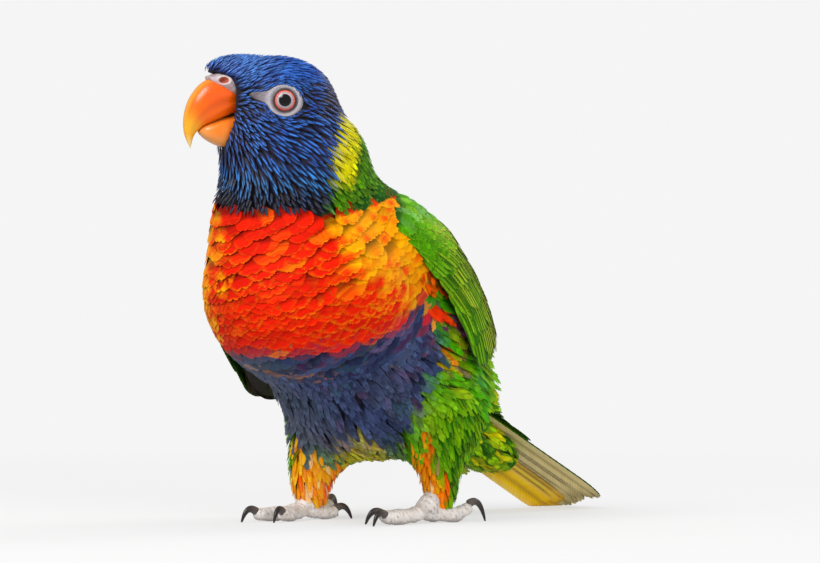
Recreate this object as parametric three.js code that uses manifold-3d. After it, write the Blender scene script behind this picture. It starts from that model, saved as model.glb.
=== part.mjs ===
// Rainbow lorikeet, standing, life size. Millimetres.
// +X is the bird's left, +Y its back, +Z up. It is built with the floor point between its feet at zero, and the
// whole group is then moved so that the middle of its footprint box is the origin.
import * as THREE from "three";
import { mergeVertices } from "three/addons/utils/BufferGeometryUtils.js";
import Module from "manifold-3d";

const wasm = await Module();
wasm.setup();

// ---------------------------------------------------------------- driving dimensions
const GAP = 0.3; // clearance between pieces that meet
const CUT = 0.4; // width of the thin cuts that part the body
const BLEND = 7; // how far the masses of the body melt into each other

const HEAD = { centre: [-1.7, -39, 123.7], turn: -40 }; // it looks 40 degrees to its right
const EYE = { forward: 0, side: 10.4, up: 1.5, radius: 4.2 };

// The tail turns to the bird's left, slopes down to the floor and is rolled with its left edge up.
const TAIL = { base: [0.4, 34, 35], turn: -8, pitch: -26.5, roll: -24, length: 82, thick: 5, arch: 3.5 };
const TAIL_HALF_WIDTHS = [17, 17, 14.8, 12.9, 12.2, 11.5, 9];

const FEET = {
  left: { at: [19.5, 7], turn: -18 },
  right: { at: [-20, 0], turn: -6 },
};
const TOE_RADIUS = 2.35;
// Each toe: the angle from straight ahead towards the bird's left, its length and how high its end lifts.
const TOES = {
  outer_front: { angle: 12, length: 17, lift: 0 },
  inner_front: { angle: -14, length: 13, lift: 0 },
  outer_rear: { angle: 168, length: 14, lift: 2.4 },
  inner_rear: { angle: -150, length: 9, lift: 0 },
};
const CLAW = { length: 7.2, radius: 1.25, drop: 58 };

// The masses that the plumage outlines: centre, half sizes (sideways, lengthways, upright), tilt about X and turn
// about Z in degrees. A positive tilt lifts the rear end.
const MASSES = {
  breast: { at: [0, -24, 70], half: [30.5, 34, 29.5], tilt: 0 },
  shoulders: { at: [0, -7, 82], half: [30, 27, 19], tilt: -42 },
  belly: { at: [0, 6, 52], half: [29, 38, 33], tilt: -22 },
  rump: { at: [0, 30, 42], half: [20, 27, 17], tilt: -27 },
  vent: { at: [2, 52, 25], half: [11, 25, 8], tilt: -24, turn: -8 },
  crop: { at: [-2, -33.5, 88], half: [23, 20, 17], tilt: 0 },
  neck: { at: [-0.8, -30, 103], half: [22, 23, 23], tilt: 0 },
  head: { at: [-1.4, -38.6, 125.2], half: [12.8, 17.2, 13], tilt: 0, turn: HEAD.turn },
  cheeks: { at: [-2, -39.4, 115.2], half: [14.5, 16, 12.5], tilt: 0, turn: HEAD.turn },
  forehead: { at: [-9.2, -47.9, 130.6], half: [8, 9.6, 7.8], tilt: 0, turn: HEAD.turn },
};
// The line that the body's sections are strung on, from the rump to the middle of the head.
const SPINE = [[1, 46, 34], [0, 18, 50], [0, -6, 66], [0, -19, 84], [-0.8, -29, 104], [-1.7, -38.5, 122]];

const COLOURS = {
  blue: [0x1f4fae, 0.6], green: [0x3f9a12, 0.6], red: [0xe8401a, 0.6], orange: [0xf28a12, 0.6],
  bill: [0xf47a18, 0.35], cere: [0xb9a8a8, 0.6], eye: [0x14100f, 0.1], foot: [0xb4aca8, 0.7],
  claw: [0x57504d, 0.4], olive: [0xb39a3c, 0.6],
};

// ---------------------------------------------------------------- helpers
const vector = (p) => new THREE.Vector3(...p);
const radians = THREE.MathUtils.degToRad;
const lerp = THREE.MathUtils.lerp;
const smooth = (x, low, high) => THREE.MathUtils.smoothstep(x, low, high);

// A value read along evenly spaced knots, with a smooth curve between them.
function profile(...knots) {
  const curve = new THREE.CatmullRomCurve3(knots.map((k) => new THREE.Vector3(k, 0, 0)));
  return (t) => curve.getPoint(THREE.MathUtils.clamp(t, 0, 1)).x;
}

// 0 at both poles of a closed surface and 1 between them, rising over the first and last share of its length.
const closing = (along, share) => Math.sqrt(Math.max(0, Math.min(1, Math.min(along, 1 - along) / share)));

// A sine or cosine pushed towards a box (power under 1) or a diamond (over 1).
const squared = (value, power) => Math.sign(value) * Math.pow(Math.abs(value), power);

// A closed surface: a sphere whose points are put by place(along, around), both 0 to 1, from pole to pole.
function closed(place, rings, sides) {
  const geometry = new THREE.SphereGeometry(1, sides, rings);
  const uv = geometry.getAttribute("uv");
  const position = geometry.getAttribute("position");
  for (let i = 0; i < position.count; i++) {
    const p = place(1 - uv.getY(i), uv.getX(i));
    position.setXYZ(i, p.x, p.y, p.z);
  }
  return geometry;
}

// A geometry as a manifold-3d solid, moved by a matrix if one is given.
function solid(geometry, matrix = new THREE.Matrix4()) {
  const bare = new THREE.BufferGeometry();
  bare.setAttribute("position", geometry.getAttribute("position").clone());
  bare.setIndex(geometry.getIndex().clone());
  bare.applyMatrix4(matrix);
  const merged = mergeVertices(bare, 1e-3);
  const vertProperties = merged.getAttribute("position").array;
  const triVerts = new Uint32Array(merged.getIndex().array);
  let made = new wasm.Manifold(new wasm.Mesh({ numProp: 3, vertProperties, triVerts }));
  if (made.volume() < 0) {
    for (let i = 0; i < triVerts.length; i += 3) triVerts.subarray(i, i + 3).reverse();
    made = new wasm.Manifold(new wasm.Mesh({ numProp: 3, vertProperties, triVerts }));
  }
  return made;
}

// The biggest of a solid's separate bodies, so that a sliver left by a cut is dropped.
const biggest = (made) => made.decompose().sort((a, b) => b.volume() - a.volume())[0];

// A solid as a named mesh, placed in the frame of the group that it is added to.
function mesh(name, made, colour, group) {
  const { vertProperties, triVerts } = biggest(made).getMesh();
  const geometry = new THREE.BufferGeometry();
  geometry.setAttribute("position", new THREE.BufferAttribute(new Float32Array(vertProperties), 3));
  geometry.setIndex(new THREE.BufferAttribute(new Uint32Array(triVerts), 1));
  geometry.computeVertexNormals();
  const [color, roughness] = COLOURS[colour];
  const made3 = new THREE.Mesh(geometry, new THREE.MeshStandardMaterial({ color, roughness, metalness: 0 }));
  made3.name = name;
  group.add(made3);
  return made3;
}

// A slab of the given thickness, square to a direction.
function slab(at, normal, thickness) {
  const turn = new THREE.Quaternion().setFromUnitVectors(new THREE.Vector3(0, 0, 1), vector(normal).normalize());
  const matrix = new THREE.Matrix4().compose(vector(at), turn, new THREE.Vector3(1, 1, 1));
  return solid(new THREE.BoxGeometry(260, 260, thickness), matrix);
}
const FLOOR_DEPTH = 60;
const underFloor = () => slab([0, 0, -FLOOR_DEPTH / 2], [0, 0, 1], FLOOR_DEPTH);

// A round tapering rod along a curve, closed by a half ball of its own radius at each end.
function rod(curve, radius, rings, sides, flatten = 1) {
  const frames = curve.computeFrenetFrames(100, false);
  return closed((along, around) => {
    const t = smooth(along, 0, 1) * 0.35 + along * 0.65;
    const i = Math.round(t * 100);
    const r = radius(t) * closing(along, 0.09);
    const angle = 2 * Math.PI * around;
    return curve.getPointAt(t)
      .addScaledVector(frames.normals[i], r * Math.cos(angle))
      .addScaledVector(frames.binormals[i], r * flatten * Math.sin(angle));
  }, rings, sides);
}

// ---------------------------------------------------------------- the body as one smooth shape
const masses = Object.fromEntries(Object.entries(MASSES).map(([name, m]) => {
  const turn = new THREE.Euler(radians(m.tilt), 0, radians(m.turn ?? 0), "ZXY");
  const inverse = new THREE.Matrix4().makeRotationFromEuler(turn).setPosition(vector(m.at)).invert();
  return [name, { inverse, half: vector(m.half) }];
}));

// Roughly how far a point is outside an ellipsoid.
function outside(point, { inverse, half }) {
  const q = point.clone().applyMatrix4(inverse);
  const k0 = q.clone().divide(half).length();
  const k1 = q.clone().divide(half).divide(half).length();
  return k1 > 0 ? (k0 * (k0 - 1)) / k1 : -Math.min(half.x, half.y, half.z);
}

// How far a point is outside all the masses, melted together.
function outsideAll(point, parts) {
  return parts.map((m) => outside(point, m)).reduce((a, b) => {
    const h = Math.max(BLEND - Math.abs(a - b), 0) / BLEND;
    return Math.min(a, b) - (h * h * BLEND) / 4;
  });
}

// Where a ray from inside first reaches the surface that lies `proud` of the masses.
function surface(from, direction, parts, proud) {
  const at = (t) => outsideAll(from.clone().addScaledVector(direction, t), parts) - proud;
  let low = 0;
  let high = 1.5;
  while (at(high) < 0 && high < 120) {
    low = high;
    high += 1.5;
  }
  for (let i = 0; i < 14; i++) {
    const middle = (low + high) / 2;
    if (at(middle) < 0) low = middle;
    else high = middle;
  }
  return from.clone().addScaledVector(direction, high);
}

// The frame of a section: along the curve, towards the back of the bird, and towards its left.
function section(curve, t) {
  const ahead = curve.getTangentAt(t);
  const left = new THREE.Vector3(1, 0, 0).addScaledVector(ahead, -ahead.x).normalize();
  return { centre: curve.getPointAt(t), ahead, left, back: left.clone().cross(ahead) };
}

// The body's surface, strung on a curve, with a fan of sections round each end of it.
function body(curve, parts, proud, rings, sides) {
  const FANS = [0.16, 0.7]; // shares of the rings where the rear fan ends and the head's fan starts
  return closed((along, around) => {
    const t = THREE.MathUtils.clamp((along - FANS[0]) / (FANS[1] - FANS[0]), 0, 1);
    const { centre, ahead, left, back } = section(curve, t);
    const rear = Math.min(0, along / FANS[0] - 1);
    const front = Math.max(0, (along - FANS[1]) / (1 - FANS[1]));
    const tilt = ((rear + front) * Math.PI) / 2;
    const angle = 2 * Math.PI * around;
    const direction = back.multiplyScalar(Math.cos(angle)).addScaledVector(left, Math.sin(angle))
      .multiplyScalar(Math.cos(tilt)).addScaledVector(ahead, Math.sin(tilt)).normalize();
    return surface(centre, direction, parts, proud);
  }, rings, sides);
}

const spine = new THREE.CatmullRomCurve3(SPINE.map(vector));
const everyMass = Object.values(masses);
const flesh = solid(body(spine, everyMass, 0, 30, 24));
const fleshGrown = solid(body(spine, everyMass, GAP, 30, 24));

// ---------------------------------------------------------------- head pieces, in the head's own frame
const bird = new THREE.Group();
const headGroup = new THREE.Group();
headGroup.position.set(...HEAD.centre);
headGroup.rotation.z = radians(HEAD.turn);
bird.add(headGroup);
headGroup.updateMatrix();
const headToBird = headGroup.matrix;

// A point in the head's frame: forward of its middle, to its left, and up.
const inHead = (forward, side, up) => new THREE.Vector3(side, -forward, up);

// A horny piece between an upper and a lower edge line, both lists of [forward, up], with a half width at each.
function horn({ upper, lower, halfWidth, fullness }, proud, rings, sides) {
  const top = new THREE.CatmullRomCurve3(upper.map(([f, u]) => inHead(f, 0, u)));
  const bottom = new THREE.CatmullRomCurve3(lower.map(([f, u]) => inHead(f, 0, u)));
  const width = profile(...halfWidth);
  return closed((along, around) => {
    const a = top.getPoint(along);
    const b = bottom.getPoint(along);
    const middle = a.clone().lerp(b, 0.5);
    const close = closing(along, 0.06);
    const half = a.clone().sub(middle).multiplyScalar(close);
    half.setLength(half.length() + close * proud);
    const angle = 2 * Math.PI * around;
    const halfAcross = (width(along) + proud) * close * squared(Math.sin(angle), fullness);
    return middle.addScaledVector(half, Math.cos(angle)).add(new THREE.Vector3(halfAcross, 0, 0));
  }, rings, sides);
}

const UPPER_BILL = {
  upper: [[9.5, 6.2], [15.5, 7.6], [21, 6.9], [25, 2.8], [27.1, -2.6], [27.2, -8.2], [25.3, -13.2]],
  lower: [[9.5, -1.8], [12.3, -2.8], [15.6, -4.2], [19, -5.3], [22, -6.4], [24.3, -9.0], [25.3, -13.2]],
  halfWidth: [4.6, 5.3, 5.4, 4.9, 3.6, 1.8, 0.25],
  fullness: 0.8,
};
const LOWER_BILL = {
  upper: [[9.5, -3.0], [14, -4.2], [18, -5.4], [21.4, -6.8], [23.2, -8.0]],
  lower: [[9.5, -9.4], [13, -11.8], [16.6, -12.2], [20.6, -10.4], [23.2, -8.2]],
  halfWidth: [3.8, 4.6, 4.5, 3.3, 1.2],
  fullness: 0.75,
};
const CERE = {
  upper: [[10.5, 8.8], [13.6, 9.4], [17.4, 9.2], [21.4, 8.0]],
  lower: [[10.7, 0.6], [12.4, 1.4], [14.6, 3.0], [19.4, 5.8]],
  halfWidth: [5.6, 6.1, 5.6, 2.6],
  fullness: 0.8,
};
const NOSTRIL = { forward: 16.6, side: 4.6, up: 6.8, radius: 1.0 };

const upperBill = horn(UPPER_BILL, 0, 14, 12);
const upperBillGrown = horn(UPPER_BILL, GAP, 14, 12);
const lowerBill = horn(LOWER_BILL, 0, 9, 10);
const lowerBillGrown = horn(LOWER_BILL, GAP, 9, 10);
const cereBody = horn(CERE, 0, 7, 10);
const cereGrown = horn(CERE, GAP, 7, 10);

const nostril = (sign) => solid(
  new THREE.SphereGeometry(NOSTRIL.radius, 6, 4).translate(
    ...inHead(NOSTRIL.forward, sign * NOSTRIL.side, NOSTRIL.up).toArray()),
);
const eyeball = (sign, radius) => new THREE.SphereGeometry(radius, 12, 8).translate(
  ...inHead(EYE.forward, sign * EYE.side, EYE.up).toArray());

mesh("upper_bill", solid(upperBill), "bill", headGroup);
mesh("lower_bill", solid(lowerBill).subtract(solid(upperBillGrown)), "bill", headGroup);
mesh("cere", solid(cereBody).subtract(solid(upperBillGrown)).subtract(nostril(1)).subtract(nostril(-1)),
  "cere", headGroup);
mesh("left_eye", solid(eyeball(1, EYE.radius)), "eye", headGroup);
mesh("right_eye", solid(eyeball(-1, EYE.radius)), "eye", headGroup);

// ---------------------------------------------------------------- head, neck and trunk
const HEAD_CUT = { at: [-2, -36, 112], normal: [0.1, -0.35, 1] };
const NECK_CUT = { at: [0, -26, 100], normal: [0, -0.2, 1] };
const sockets = [upperBillGrown, lowerBillGrown, cereGrown, eyeball(1, EYE.radius + GAP), eyeball(-1, EYE.radius + GAP)];
const carved = sockets.reduce((made, g) => made.subtract(solid(g, headToBird)), flesh);
const parted = carved
  .subtract(slab(HEAD_CUT.at, HEAD_CUT.normal, CUT))
  .subtract(slab(NECK_CUT.at, NECK_CUT.normal, CUT))
  .decompose()
  .sort((a, b) => b.volume() - a.volume())
  .slice(0, 3)
  .sort((a, b) => b.boundingBox().max[2] - a.boundingBox().max[2]);
const birdToHead = headToBird.clone().invert();
const headMesh = mesh("head", parted[0], "blue", headGroup);
headMesh.geometry.applyMatrix4(birdToHead);
mesh("neck", parted[1], "green", bird);
mesh("trunk", parted[2], "red", bird);

// ---------------------------------------------------------------- tail
// Its blade runs back from the base, widest before its middle, with a graduated, blunt tip.
const tailGroup = new THREE.Group();
tailGroup.position.set(...TAIL.base);
tailGroup.rotation.set(radians(TAIL.pitch), radians(TAIL.roll), radians(TAIL.turn), "ZXY");
bird.add(tailGroup);
tailGroup.updateMatrix();
const tailHalf = profile(...TAIL_HALF_WIDTHS);
const tailThick = profile(TAIL.thick, TAIL.thick * 0.8, TAIL.thick * 0.5, 2.2, 1.8);
function tailBlade(proud) {
  return closed((along, around) => {
    const close = closing(along, 0.07);
    const angle = 2 * Math.PI * around;
    const x = squared(Math.cos(angle), 0.7);
    const z = squared(Math.sin(angle), 0.7);
    const crown = TAIL.arch * (1 - x * x) * close * (tailHalf(along) / TAIL_HALF_WIDTHS[2]);
    return new THREE.Vector3(
      x * (tailHalf(along) + proud) * close,
      along * TAIL.length,
      crown + z * (tailThick(along) * 0.5 + proud) * close,
    );
  }, 13, 14);
}
const tail = solid(tailBlade(0), tailGroup.matrix).subtract(fleshGrown).subtract(underFloor());
const tailMesh = mesh("tail", tail, "olive", tailGroup);
tailMesh.geometry.applyMatrix4(tailGroup.matrix.clone().invert());
const tailGrown = solid(tailBlade(GAP), tailGroup.matrix);

// ---------------------------------------------------------------- wings
// A wing lies on the trunk and then on the top of the tail. Its sections are strung on a line inside both.
const WING_LINE = [[0, -20, 88], [0, -4, 76], [0, 16, 60], [1, 36, 46], [3, 56, 31], [5, 76, 19]];
const wingLine = new THREE.CatmullRomCurve3(WING_LINE.map(vector));
const tailBed = {
  inverse: tailGroup.matrix.clone().multiply(new THREE.Matrix4().makeTranslation(0, 40, 0)).invert(),
  half: new THREE.Vector3(15, 48, 6),
};
const wingBed = [masses.breast, masses.shoulders, masses.belly, masses.rump, masses.neck, tailBed];

// Both edges are angles from the middle of the back, in degrees, read along the wing.
const WINGS = {
  left: { sign: 1, top: [60, 36, 22, 16, 16, 24], low: [88, 98, 100, 94, 88, 70], reach: 0.72, thick: [1, 3.2, 6.4, 7.4, 6.6, 3.6], away: 0 },
  right: { sign: -1, top: [60, 36, 22, 18, 18, 26], low: [112, 130, 135, 124, 102, 70], reach: 0.72, thick: [2, 5, 6, 6, 5, 2], away: 7 },
};
const PRIMARIES = {
  left: { sign: 1, top: [40, 30, 20, 10, 4, 8], low: [86, 93, 88, 66, 40, 20], from: 0.4, reach: 1, thick: [2, 2.6, 2.6, 2.4, 2, 1.4], away: 0 },
  right: { sign: -1, top: [42, 32, 22, 14, 8, 8], low: [100, 98, 88, 72, 50, 26], from: 0.4, reach: 1, thick: [2, 2.6, 2.6, 2.4, 2, 1.4], away: 0 },
};

function wingBlade({ sign, top, low, from = 0, reach, thick, away }, gap, proud) {
  const topEdge = profile(...top);
  const lowEdge = profile(...low);
  const depth = profile(...thick);
  return closed((along, around) => {
    const { centre, left, back } = section(wingLine, lerp(from, reach, along));
    const close = closing(along, 0.15);
    const angle = 2 * Math.PI * around;
    const across = squared(Math.cos(angle), 0.75) * close;
    const through = squared(Math.sin(angle), 0.45) * close;
    const middle = (topEdge(along) + lowEdge(along)) / 2;
    const turned = radians(middle + ((lowEdge(along) - topEdge(along)) / 2 + proud * 2) * across);
    const direction = back.multiplyScalar(Math.cos(turned)).addScaledVector(left, sign * Math.sin(turned));
    const hang = away * Math.sin(Math.PI * along) * smooth(across, -0.2, 1);
    const lift = gap + hang + (depth(along) / 2) * (1 + through) + proud * through;
    return surface(centre, direction, wingBed, lift);
  }, 13, 14);
}

for (const side of ["left", "right"]) {
  const quills = solid(wingBlade(PRIMARIES[side], 0.6, 0)).subtract(fleshGrown).subtract(tailGrown);
  const quillsGrown = solid(wingBlade(PRIMARIES[side], 0.6, GAP));
  const wing = solid(wingBlade(WINGS[side], 0.6, 0)).subtract(fleshGrown).subtract(tailGrown).subtract(quillsGrown);
  mesh(`${side}_wing`, wing, "green", bird);
  mesh(`${side}_primaries`, quills, "green", bird);
}

// ---------------------------------------------------------------- legs and feet
const THIGHS = {
  left: { line: [[17, 15, 40], [20, 14, 26], [20.5, 12.5, 14], [20, 10, 7]], radius: [16, 14, 8.4, 4.6] },
  right: { line: [[-16, 8, 40], [-18, 6, 26], [-19, 2, 14], [-20, 0.5, 7]], radius: [14, 11.5, 8, 5.2] },
};
const wingsGrown = ["left", "right"].map((side) => solid(wingBlade(WINGS[side], 0.6, GAP)));

// A toe as a line from the ball of the foot, along the floor, with a lifted end.
function toeLine({ angle, length, lift }) {
  const out = new THREE.Vector3(Math.sin(radians(angle)), -Math.cos(radians(angle)), 0);
  const point = (share, up) => out.clone().multiplyScalar(length * share).setZ(up);
  return new THREE.CatmullRomCurve3([
    point(0, 3.6), point(0.3, 2.5), point(0.65, 2.1), point(1, 2.3 + lift),
  ]);
}

// A claw leaves the end of its toe and curls down to the floor.
function clawLine({ angle, length, lift }) {
  const out = new THREE.Vector3(Math.sin(radians(angle)), -Math.cos(radians(angle)), 0);
  const start = out.clone().multiplyScalar(length + 0.4).setZ(3.1 + lift);
  const arc = (share) => {
    const bend = radians(CLAW.drop * share);
    const drop = (3.5 + lift) * Math.pow(share, 2.2);
    return start.clone().addScaledVector(out, CLAW.length * Math.sin(bend) * 0.95).add(
      new THREE.Vector3(0, 0, 1.3 * Math.sin(Math.PI * share) - drop));
  };
  return new THREE.CatmullRomCurve3([arc(0), arc(0.35), arc(0.7), arc(1)]);
}

const padRadius = profile(0.86, 1.05, 0.92, 1.06, 0.9, 0.82);
for (const [side, foot] of Object.entries(FEET)) {
  const mirror = side === "left" ? 1 : -1;
  const footGroup = new THREE.Group();
  footGroup.position.set(...foot.at, 0);
  footGroup.rotation.z = radians(foot.turn);
  bird.add(footGroup);
  footGroup.updateMatrix();
  const birdToFoot = footGroup.matrix.clone().invert();

  const thighLine = new THREE.CatmullRomCurve3(THIGHS[side].line.map(vector));
  const thighRadius = profile(...THIGHS[side].radius);
  const thigh = (proud) => solid(rod(thighLine, (t) => thighRadius(t) + proud, 9, 12));
  const hidden = wingsGrown.reduce((made, w) => made.subtract(w), thigh(0).subtract(fleshGrown).subtract(tailGrown));
  mesh(`${side}_thigh`, hidden, "green", bird);

  const shankLine = new THREE.CatmullRomCurve3(
    [[0.4, 5, 12], [0.2, 3.4, 8.4], [0, 1.2, 5], [0, 0, 3]].map(vector));
  const shankRadius = profile(2.2, 2.6, 3.4, 3.4);
  const shank = (proud) => rod(shankLine, (t) => shankRadius(t) + proud, 8, 10);
  const thighInFoot = solid(rod(thighLine, (t) => thighRadius(t) + GAP, 9, 12), birdToFoot);
  mesh(`${side}_shank`, solid(shank(0)).subtract(thighInFoot).subtract(underFloor()), "foot", footGroup);

  const taken = [solid(shank(GAP))];
  for (const [toe, size] of Object.entries(TOES)) {
    const mirrored = { ...size, angle: size.angle * mirror };
    const line = toeLine(mirrored);
    const claw = clawLine(mirrored);
    const toeRod = (proud) => rod(line, (t) => TOE_RADIUS * padRadius(t) + proud, 8, 7);
    const clawRod = (proud) => rod(claw, (t) => lerp(CLAW.radius, 0.28, t) + proud, 7, 6);
    const cut = taken.reduce((made, t) => made.subtract(t), solid(toeRod(0)).subtract(underFloor()));
    mesh(`${side}_${toe}_toe`, cut, "foot", footGroup);
    mesh(`${side}_${toe}_claw`, solid(clawRod(0)).subtract(solid(toeRod(GAP))).subtract(underFloor()), "claw", footGroup);
    taken.push(solid(toeRod(GAP)));
  }
}

// ---------------------------------------------------------------- the frame
// The origin is on the floor, in the middle of the box that the bird fills.
const box = new THREE.Box3().setFromObject(bird, true);
const middle = box.getCenter(new THREE.Vector3());
bird.position.set(-middle.x, -middle.y, -box.min.z);

export default bird;
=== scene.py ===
# %% Load the frame
import math
import time
from functools import partial
import bpy
import numpy as np
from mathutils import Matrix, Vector
from numpy.linalg import norm


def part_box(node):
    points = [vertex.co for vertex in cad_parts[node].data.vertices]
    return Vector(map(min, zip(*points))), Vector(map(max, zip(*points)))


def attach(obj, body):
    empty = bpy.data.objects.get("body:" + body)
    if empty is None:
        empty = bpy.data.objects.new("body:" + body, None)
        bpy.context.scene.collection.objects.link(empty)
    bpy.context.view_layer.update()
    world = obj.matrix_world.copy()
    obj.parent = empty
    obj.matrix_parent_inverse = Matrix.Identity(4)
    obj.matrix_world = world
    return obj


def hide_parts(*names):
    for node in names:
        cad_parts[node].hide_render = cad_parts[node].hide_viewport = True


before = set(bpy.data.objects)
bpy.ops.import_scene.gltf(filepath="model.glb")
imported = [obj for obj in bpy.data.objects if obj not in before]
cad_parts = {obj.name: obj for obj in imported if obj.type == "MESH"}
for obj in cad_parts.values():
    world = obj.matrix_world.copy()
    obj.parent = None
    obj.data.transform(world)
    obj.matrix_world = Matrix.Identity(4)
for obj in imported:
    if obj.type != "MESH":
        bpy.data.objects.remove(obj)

STARTED = time.time()
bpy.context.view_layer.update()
print("frame loaded:", len(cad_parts), "solids")


def clock():
    print("seconds so far:", round(time.time() - STARTED, 1))


# %% [markdown]
# The parrot is measured in millimetres in a frame of its own: it faces -Y, its left is +X, and zero is the
# floor between its feet. Blender works in metres in the frame of the solids, so one shift joins the two. It
# is read from the left eye, whose place in both frames is known. The head is turned to the bird's right, and
# what sits on it is placed by how far forward, to the side and up it is from the head's middle.

# %% The bird's frame and the head's frame
HEAD_CENTRE = np.array([-1.7, -39.0, 123.7])
HEAD_TURN = math.radians(-40)
FORWARD = np.array([math.sin(HEAD_TURN), -math.cos(HEAD_TURN), 0.0])
SIDE = np.array([math.cos(HEAD_TURN), math.sin(HEAD_TURN), 0.0])
UP = np.array([0.0, 0.0, 1.0])
SOLID_EYE = {"forward": 0.0, "side": 10.4, "up": 1.5}
EYE = {"forward": -0.4, "side": 10.4, "up": 0.8, "radius": 4.2}


def in_head(forward, side, up):
    """The point that is so far forward, to the left and up from the middle of the head."""
    return (HEAD_CENTRE + np.multiply.outer(forward, FORWARD) + np.multiply.outer(side, SIDE)
            + np.multiply.outer(up, UP))


def head_parts(points):
    away = points - HEAD_CENTRE
    return away @ FORWARD, away @ SIDE, away @ UP


low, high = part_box("left_eye")
SHIFT = np.array((low + high) / 2) - in_head(SOLID_EYE["forward"], SOLID_EYE["side"], SOLID_EYE["up"]) / 1000


def metres(points):
    """From the bird's millimetres to Blender's metres."""
    return np.asarray(points) / 1000 + SHIFT


def unit(rows):
    return rows / np.maximum(norm(rows, axis=-1, keepdims=True), 1e-9)


def smooth(value, start, end):
    """Rises softly from 0 at the start to 1 at the end; the end may lie below the start."""
    share = np.clip((value - start) / (end - start), 0, 1)
    return share * share * (3 - 2 * share)


print("shift in millimetres:", np.round(SHIFT * 1000, 2))

# %% [markdown]
# A bird's outline is the outline of its plumage, which rounds off everything under it. It is described here
# as egg-shaped masses melted into each other, like clay. `outside` says how far a point is outside of them
# all, and `settle` slides points until they lie at a given height over that outline. Skin, feathers and lids
# all use it, so they follow one smooth form.

# %% The masses under the plumage
BLEND = 7.0
TURN = math.degrees(HEAD_TURN)
MASSES = {
    "breast": ([0, -24, 70], [30.5, 34, 29.5], 0, 0),
    "shoulders": ([0, -7, 82], [30, 27, 19], -42, 0),
    "belly": ([0, 6, 52], [29, 38, 33], -22, 0),
    "rump": ([0, 30, 42], [20, 27, 17], -27, 0),
    "vent": ([2, 52, 25], [11, 25, 8], -24, -8),
    "crop": ([-2, -33.5, 88], [23, 20, 17], 0, 0),
    "neck": ([-0.8, -30, 103], [22, 23, 23], 0, 0),
    "head": ([-1.4, -38.6, 125.2], [12.8, 17.2, 13], 0, TURN),
    "cheeks": ([-2, -39.4, 115.2], [14.5, 16, 12.5], 0, TURN),
    "forehead": ([-10.3, -49.3, 130.7], [7.6, 9.2, 7.2], 0, TURN),
}
THIGHS = {
    "left": {
        "upper": ([18.8, 15.5, 33], [14, 14.5, 17.5], 4, 0),
        "lower": ([21, 12.6, 15], [5.6, 6, 13], 6, 0),
    },
    "right": {
        "upper": ([-17, 7.5, 32], [12.5, 13, 18], 10, 0),
        "lower": ([-19.4, 2.2, 14], [6.2, 6.6, 12.5], 8, 0),
    },
}


def mass(at, half, tilt, turn):
    """An egg shape: its middle, its half sizes, and its tilt and turn in degrees."""
    tilt, turn = math.radians(tilt), math.radians(turn)
    about_x = np.array([[1, 0, 0], [0, math.cos(tilt), -math.sin(tilt)], [0, math.sin(tilt), math.cos(tilt)]])
    about_z = np.array([[math.cos(turn), -math.sin(turn), 0], [math.sin(turn), math.cos(turn), 0], [0, 0, 1]])
    return np.array(at, float), np.array(half, float), about_z @ about_x


TRUNK = [mass(*shape) for shape in MASSES.values()]
LEGS = {side: [mass(*shape) for shape in parts.values()] for side, parts in THIGHS.items()}
WHOLE = TRUNK + LEGS["left"] + LEGS["right"]
WING_BED = [mass(*MASSES[name]) for name in ("breast", "shoulders", "belly", "rump", "neck")]
MOUTH = mass(in_head(16.5, 0, -1.4), [6.0, 8.6, 9.2], 0, TURN)
CERE_BED = mass(in_head(16.9, 0, 4.2), [7.4, 5.5, 4.2], 0, TURN)
print("masses:", len(WHOLE))


# %% Over and under the outline
def beyond(points, at, half, axes):
    """About how far points lie outside one egg shape; inside it the value is negative."""
    local = (points - at) @ axes / half
    reach = norm(local, axis=-1)
    return reach * (reach - 1) / np.maximum(norm(local / half, axis=-1), 1e-9)


def melted(one, other, size):
    melt = np.maximum(size - np.abs(one - other), 0) / size
    return np.minimum(one, other) - melt * melt * size / 4


def outside(points, masses):
    total = beyond(points, *masses[0])
    for other in masses[1:]:
        total = melted(total, beyond(points, *other), BLEND)
    if masses is WHOLE or masses is TRUNK:
        total = -melted(-total, melted(beyond(points, *MOUTH), beyond(points, *CERE_BED), 2), 2.8)
    return total


CORNERS = np.array([[1, -1, -1], [-1, -1, 1], [-1, 1, -1], [1, 1, 1]], float)
PROBE = 0.4


def slope(points, masses):
    """The value of `outside` at points, and the direction in which it grows."""
    values = [outside(points + PROBE * corner, masses) for corner in CORNERS]
    gradient = sum(value[..., None] * corner for value, corner in zip(values, CORNERS)) / (4 * PROBE)
    return sum(values) / 4, gradient


def settle(points, level, masses=WHOLE, rounds=2):
    """Slides points along the slope until they lie at a level over the outline."""
    for _ in range(rounds):
        value, gradient = slope(points, masses)
        size = np.maximum((gradient ** 2).sum(-1, keepdims=True), 0.05)
        points = points - ((value - level)[..., None] * gradient) / size
    return points


print("head centre to outline:", round(float(outside(HEAD_CENTRE, WHOLE)), 1), "mm")

# %% [markdown]
# The spine is the line that the body hangs on. It gives every point of the surface a place along the body and
# round it, which serves for the lie of the feathers, for the markings, and for laying the coat out flat.

# %% The spine
def between(before, start, end, after, share):
    """A smooth curve from start to end, steered by the points before and after them."""
    return 0.5 * (2 * start + (end - before) * share
                  + (2 * before - 5 * start + 4 * end - after) * share ** 2
                  + (3 * start - before - 3 * end + after) * share ** 3)


def curve(points, count):
    """Many points along a smooth curve through a few."""
    first = 2 * np.array(points[0], float) - points[1]
    last = 2 * np.array(points[-1], float) - points[-2]
    knots = np.array([first, *points, last])
    place = np.linspace(0, len(points) - 1 - 1e-9, count)
    index, share = place.astype(int), (place % 1)[:, None]
    return between(*(knots[index + step] for step in range(4)), share)


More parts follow.
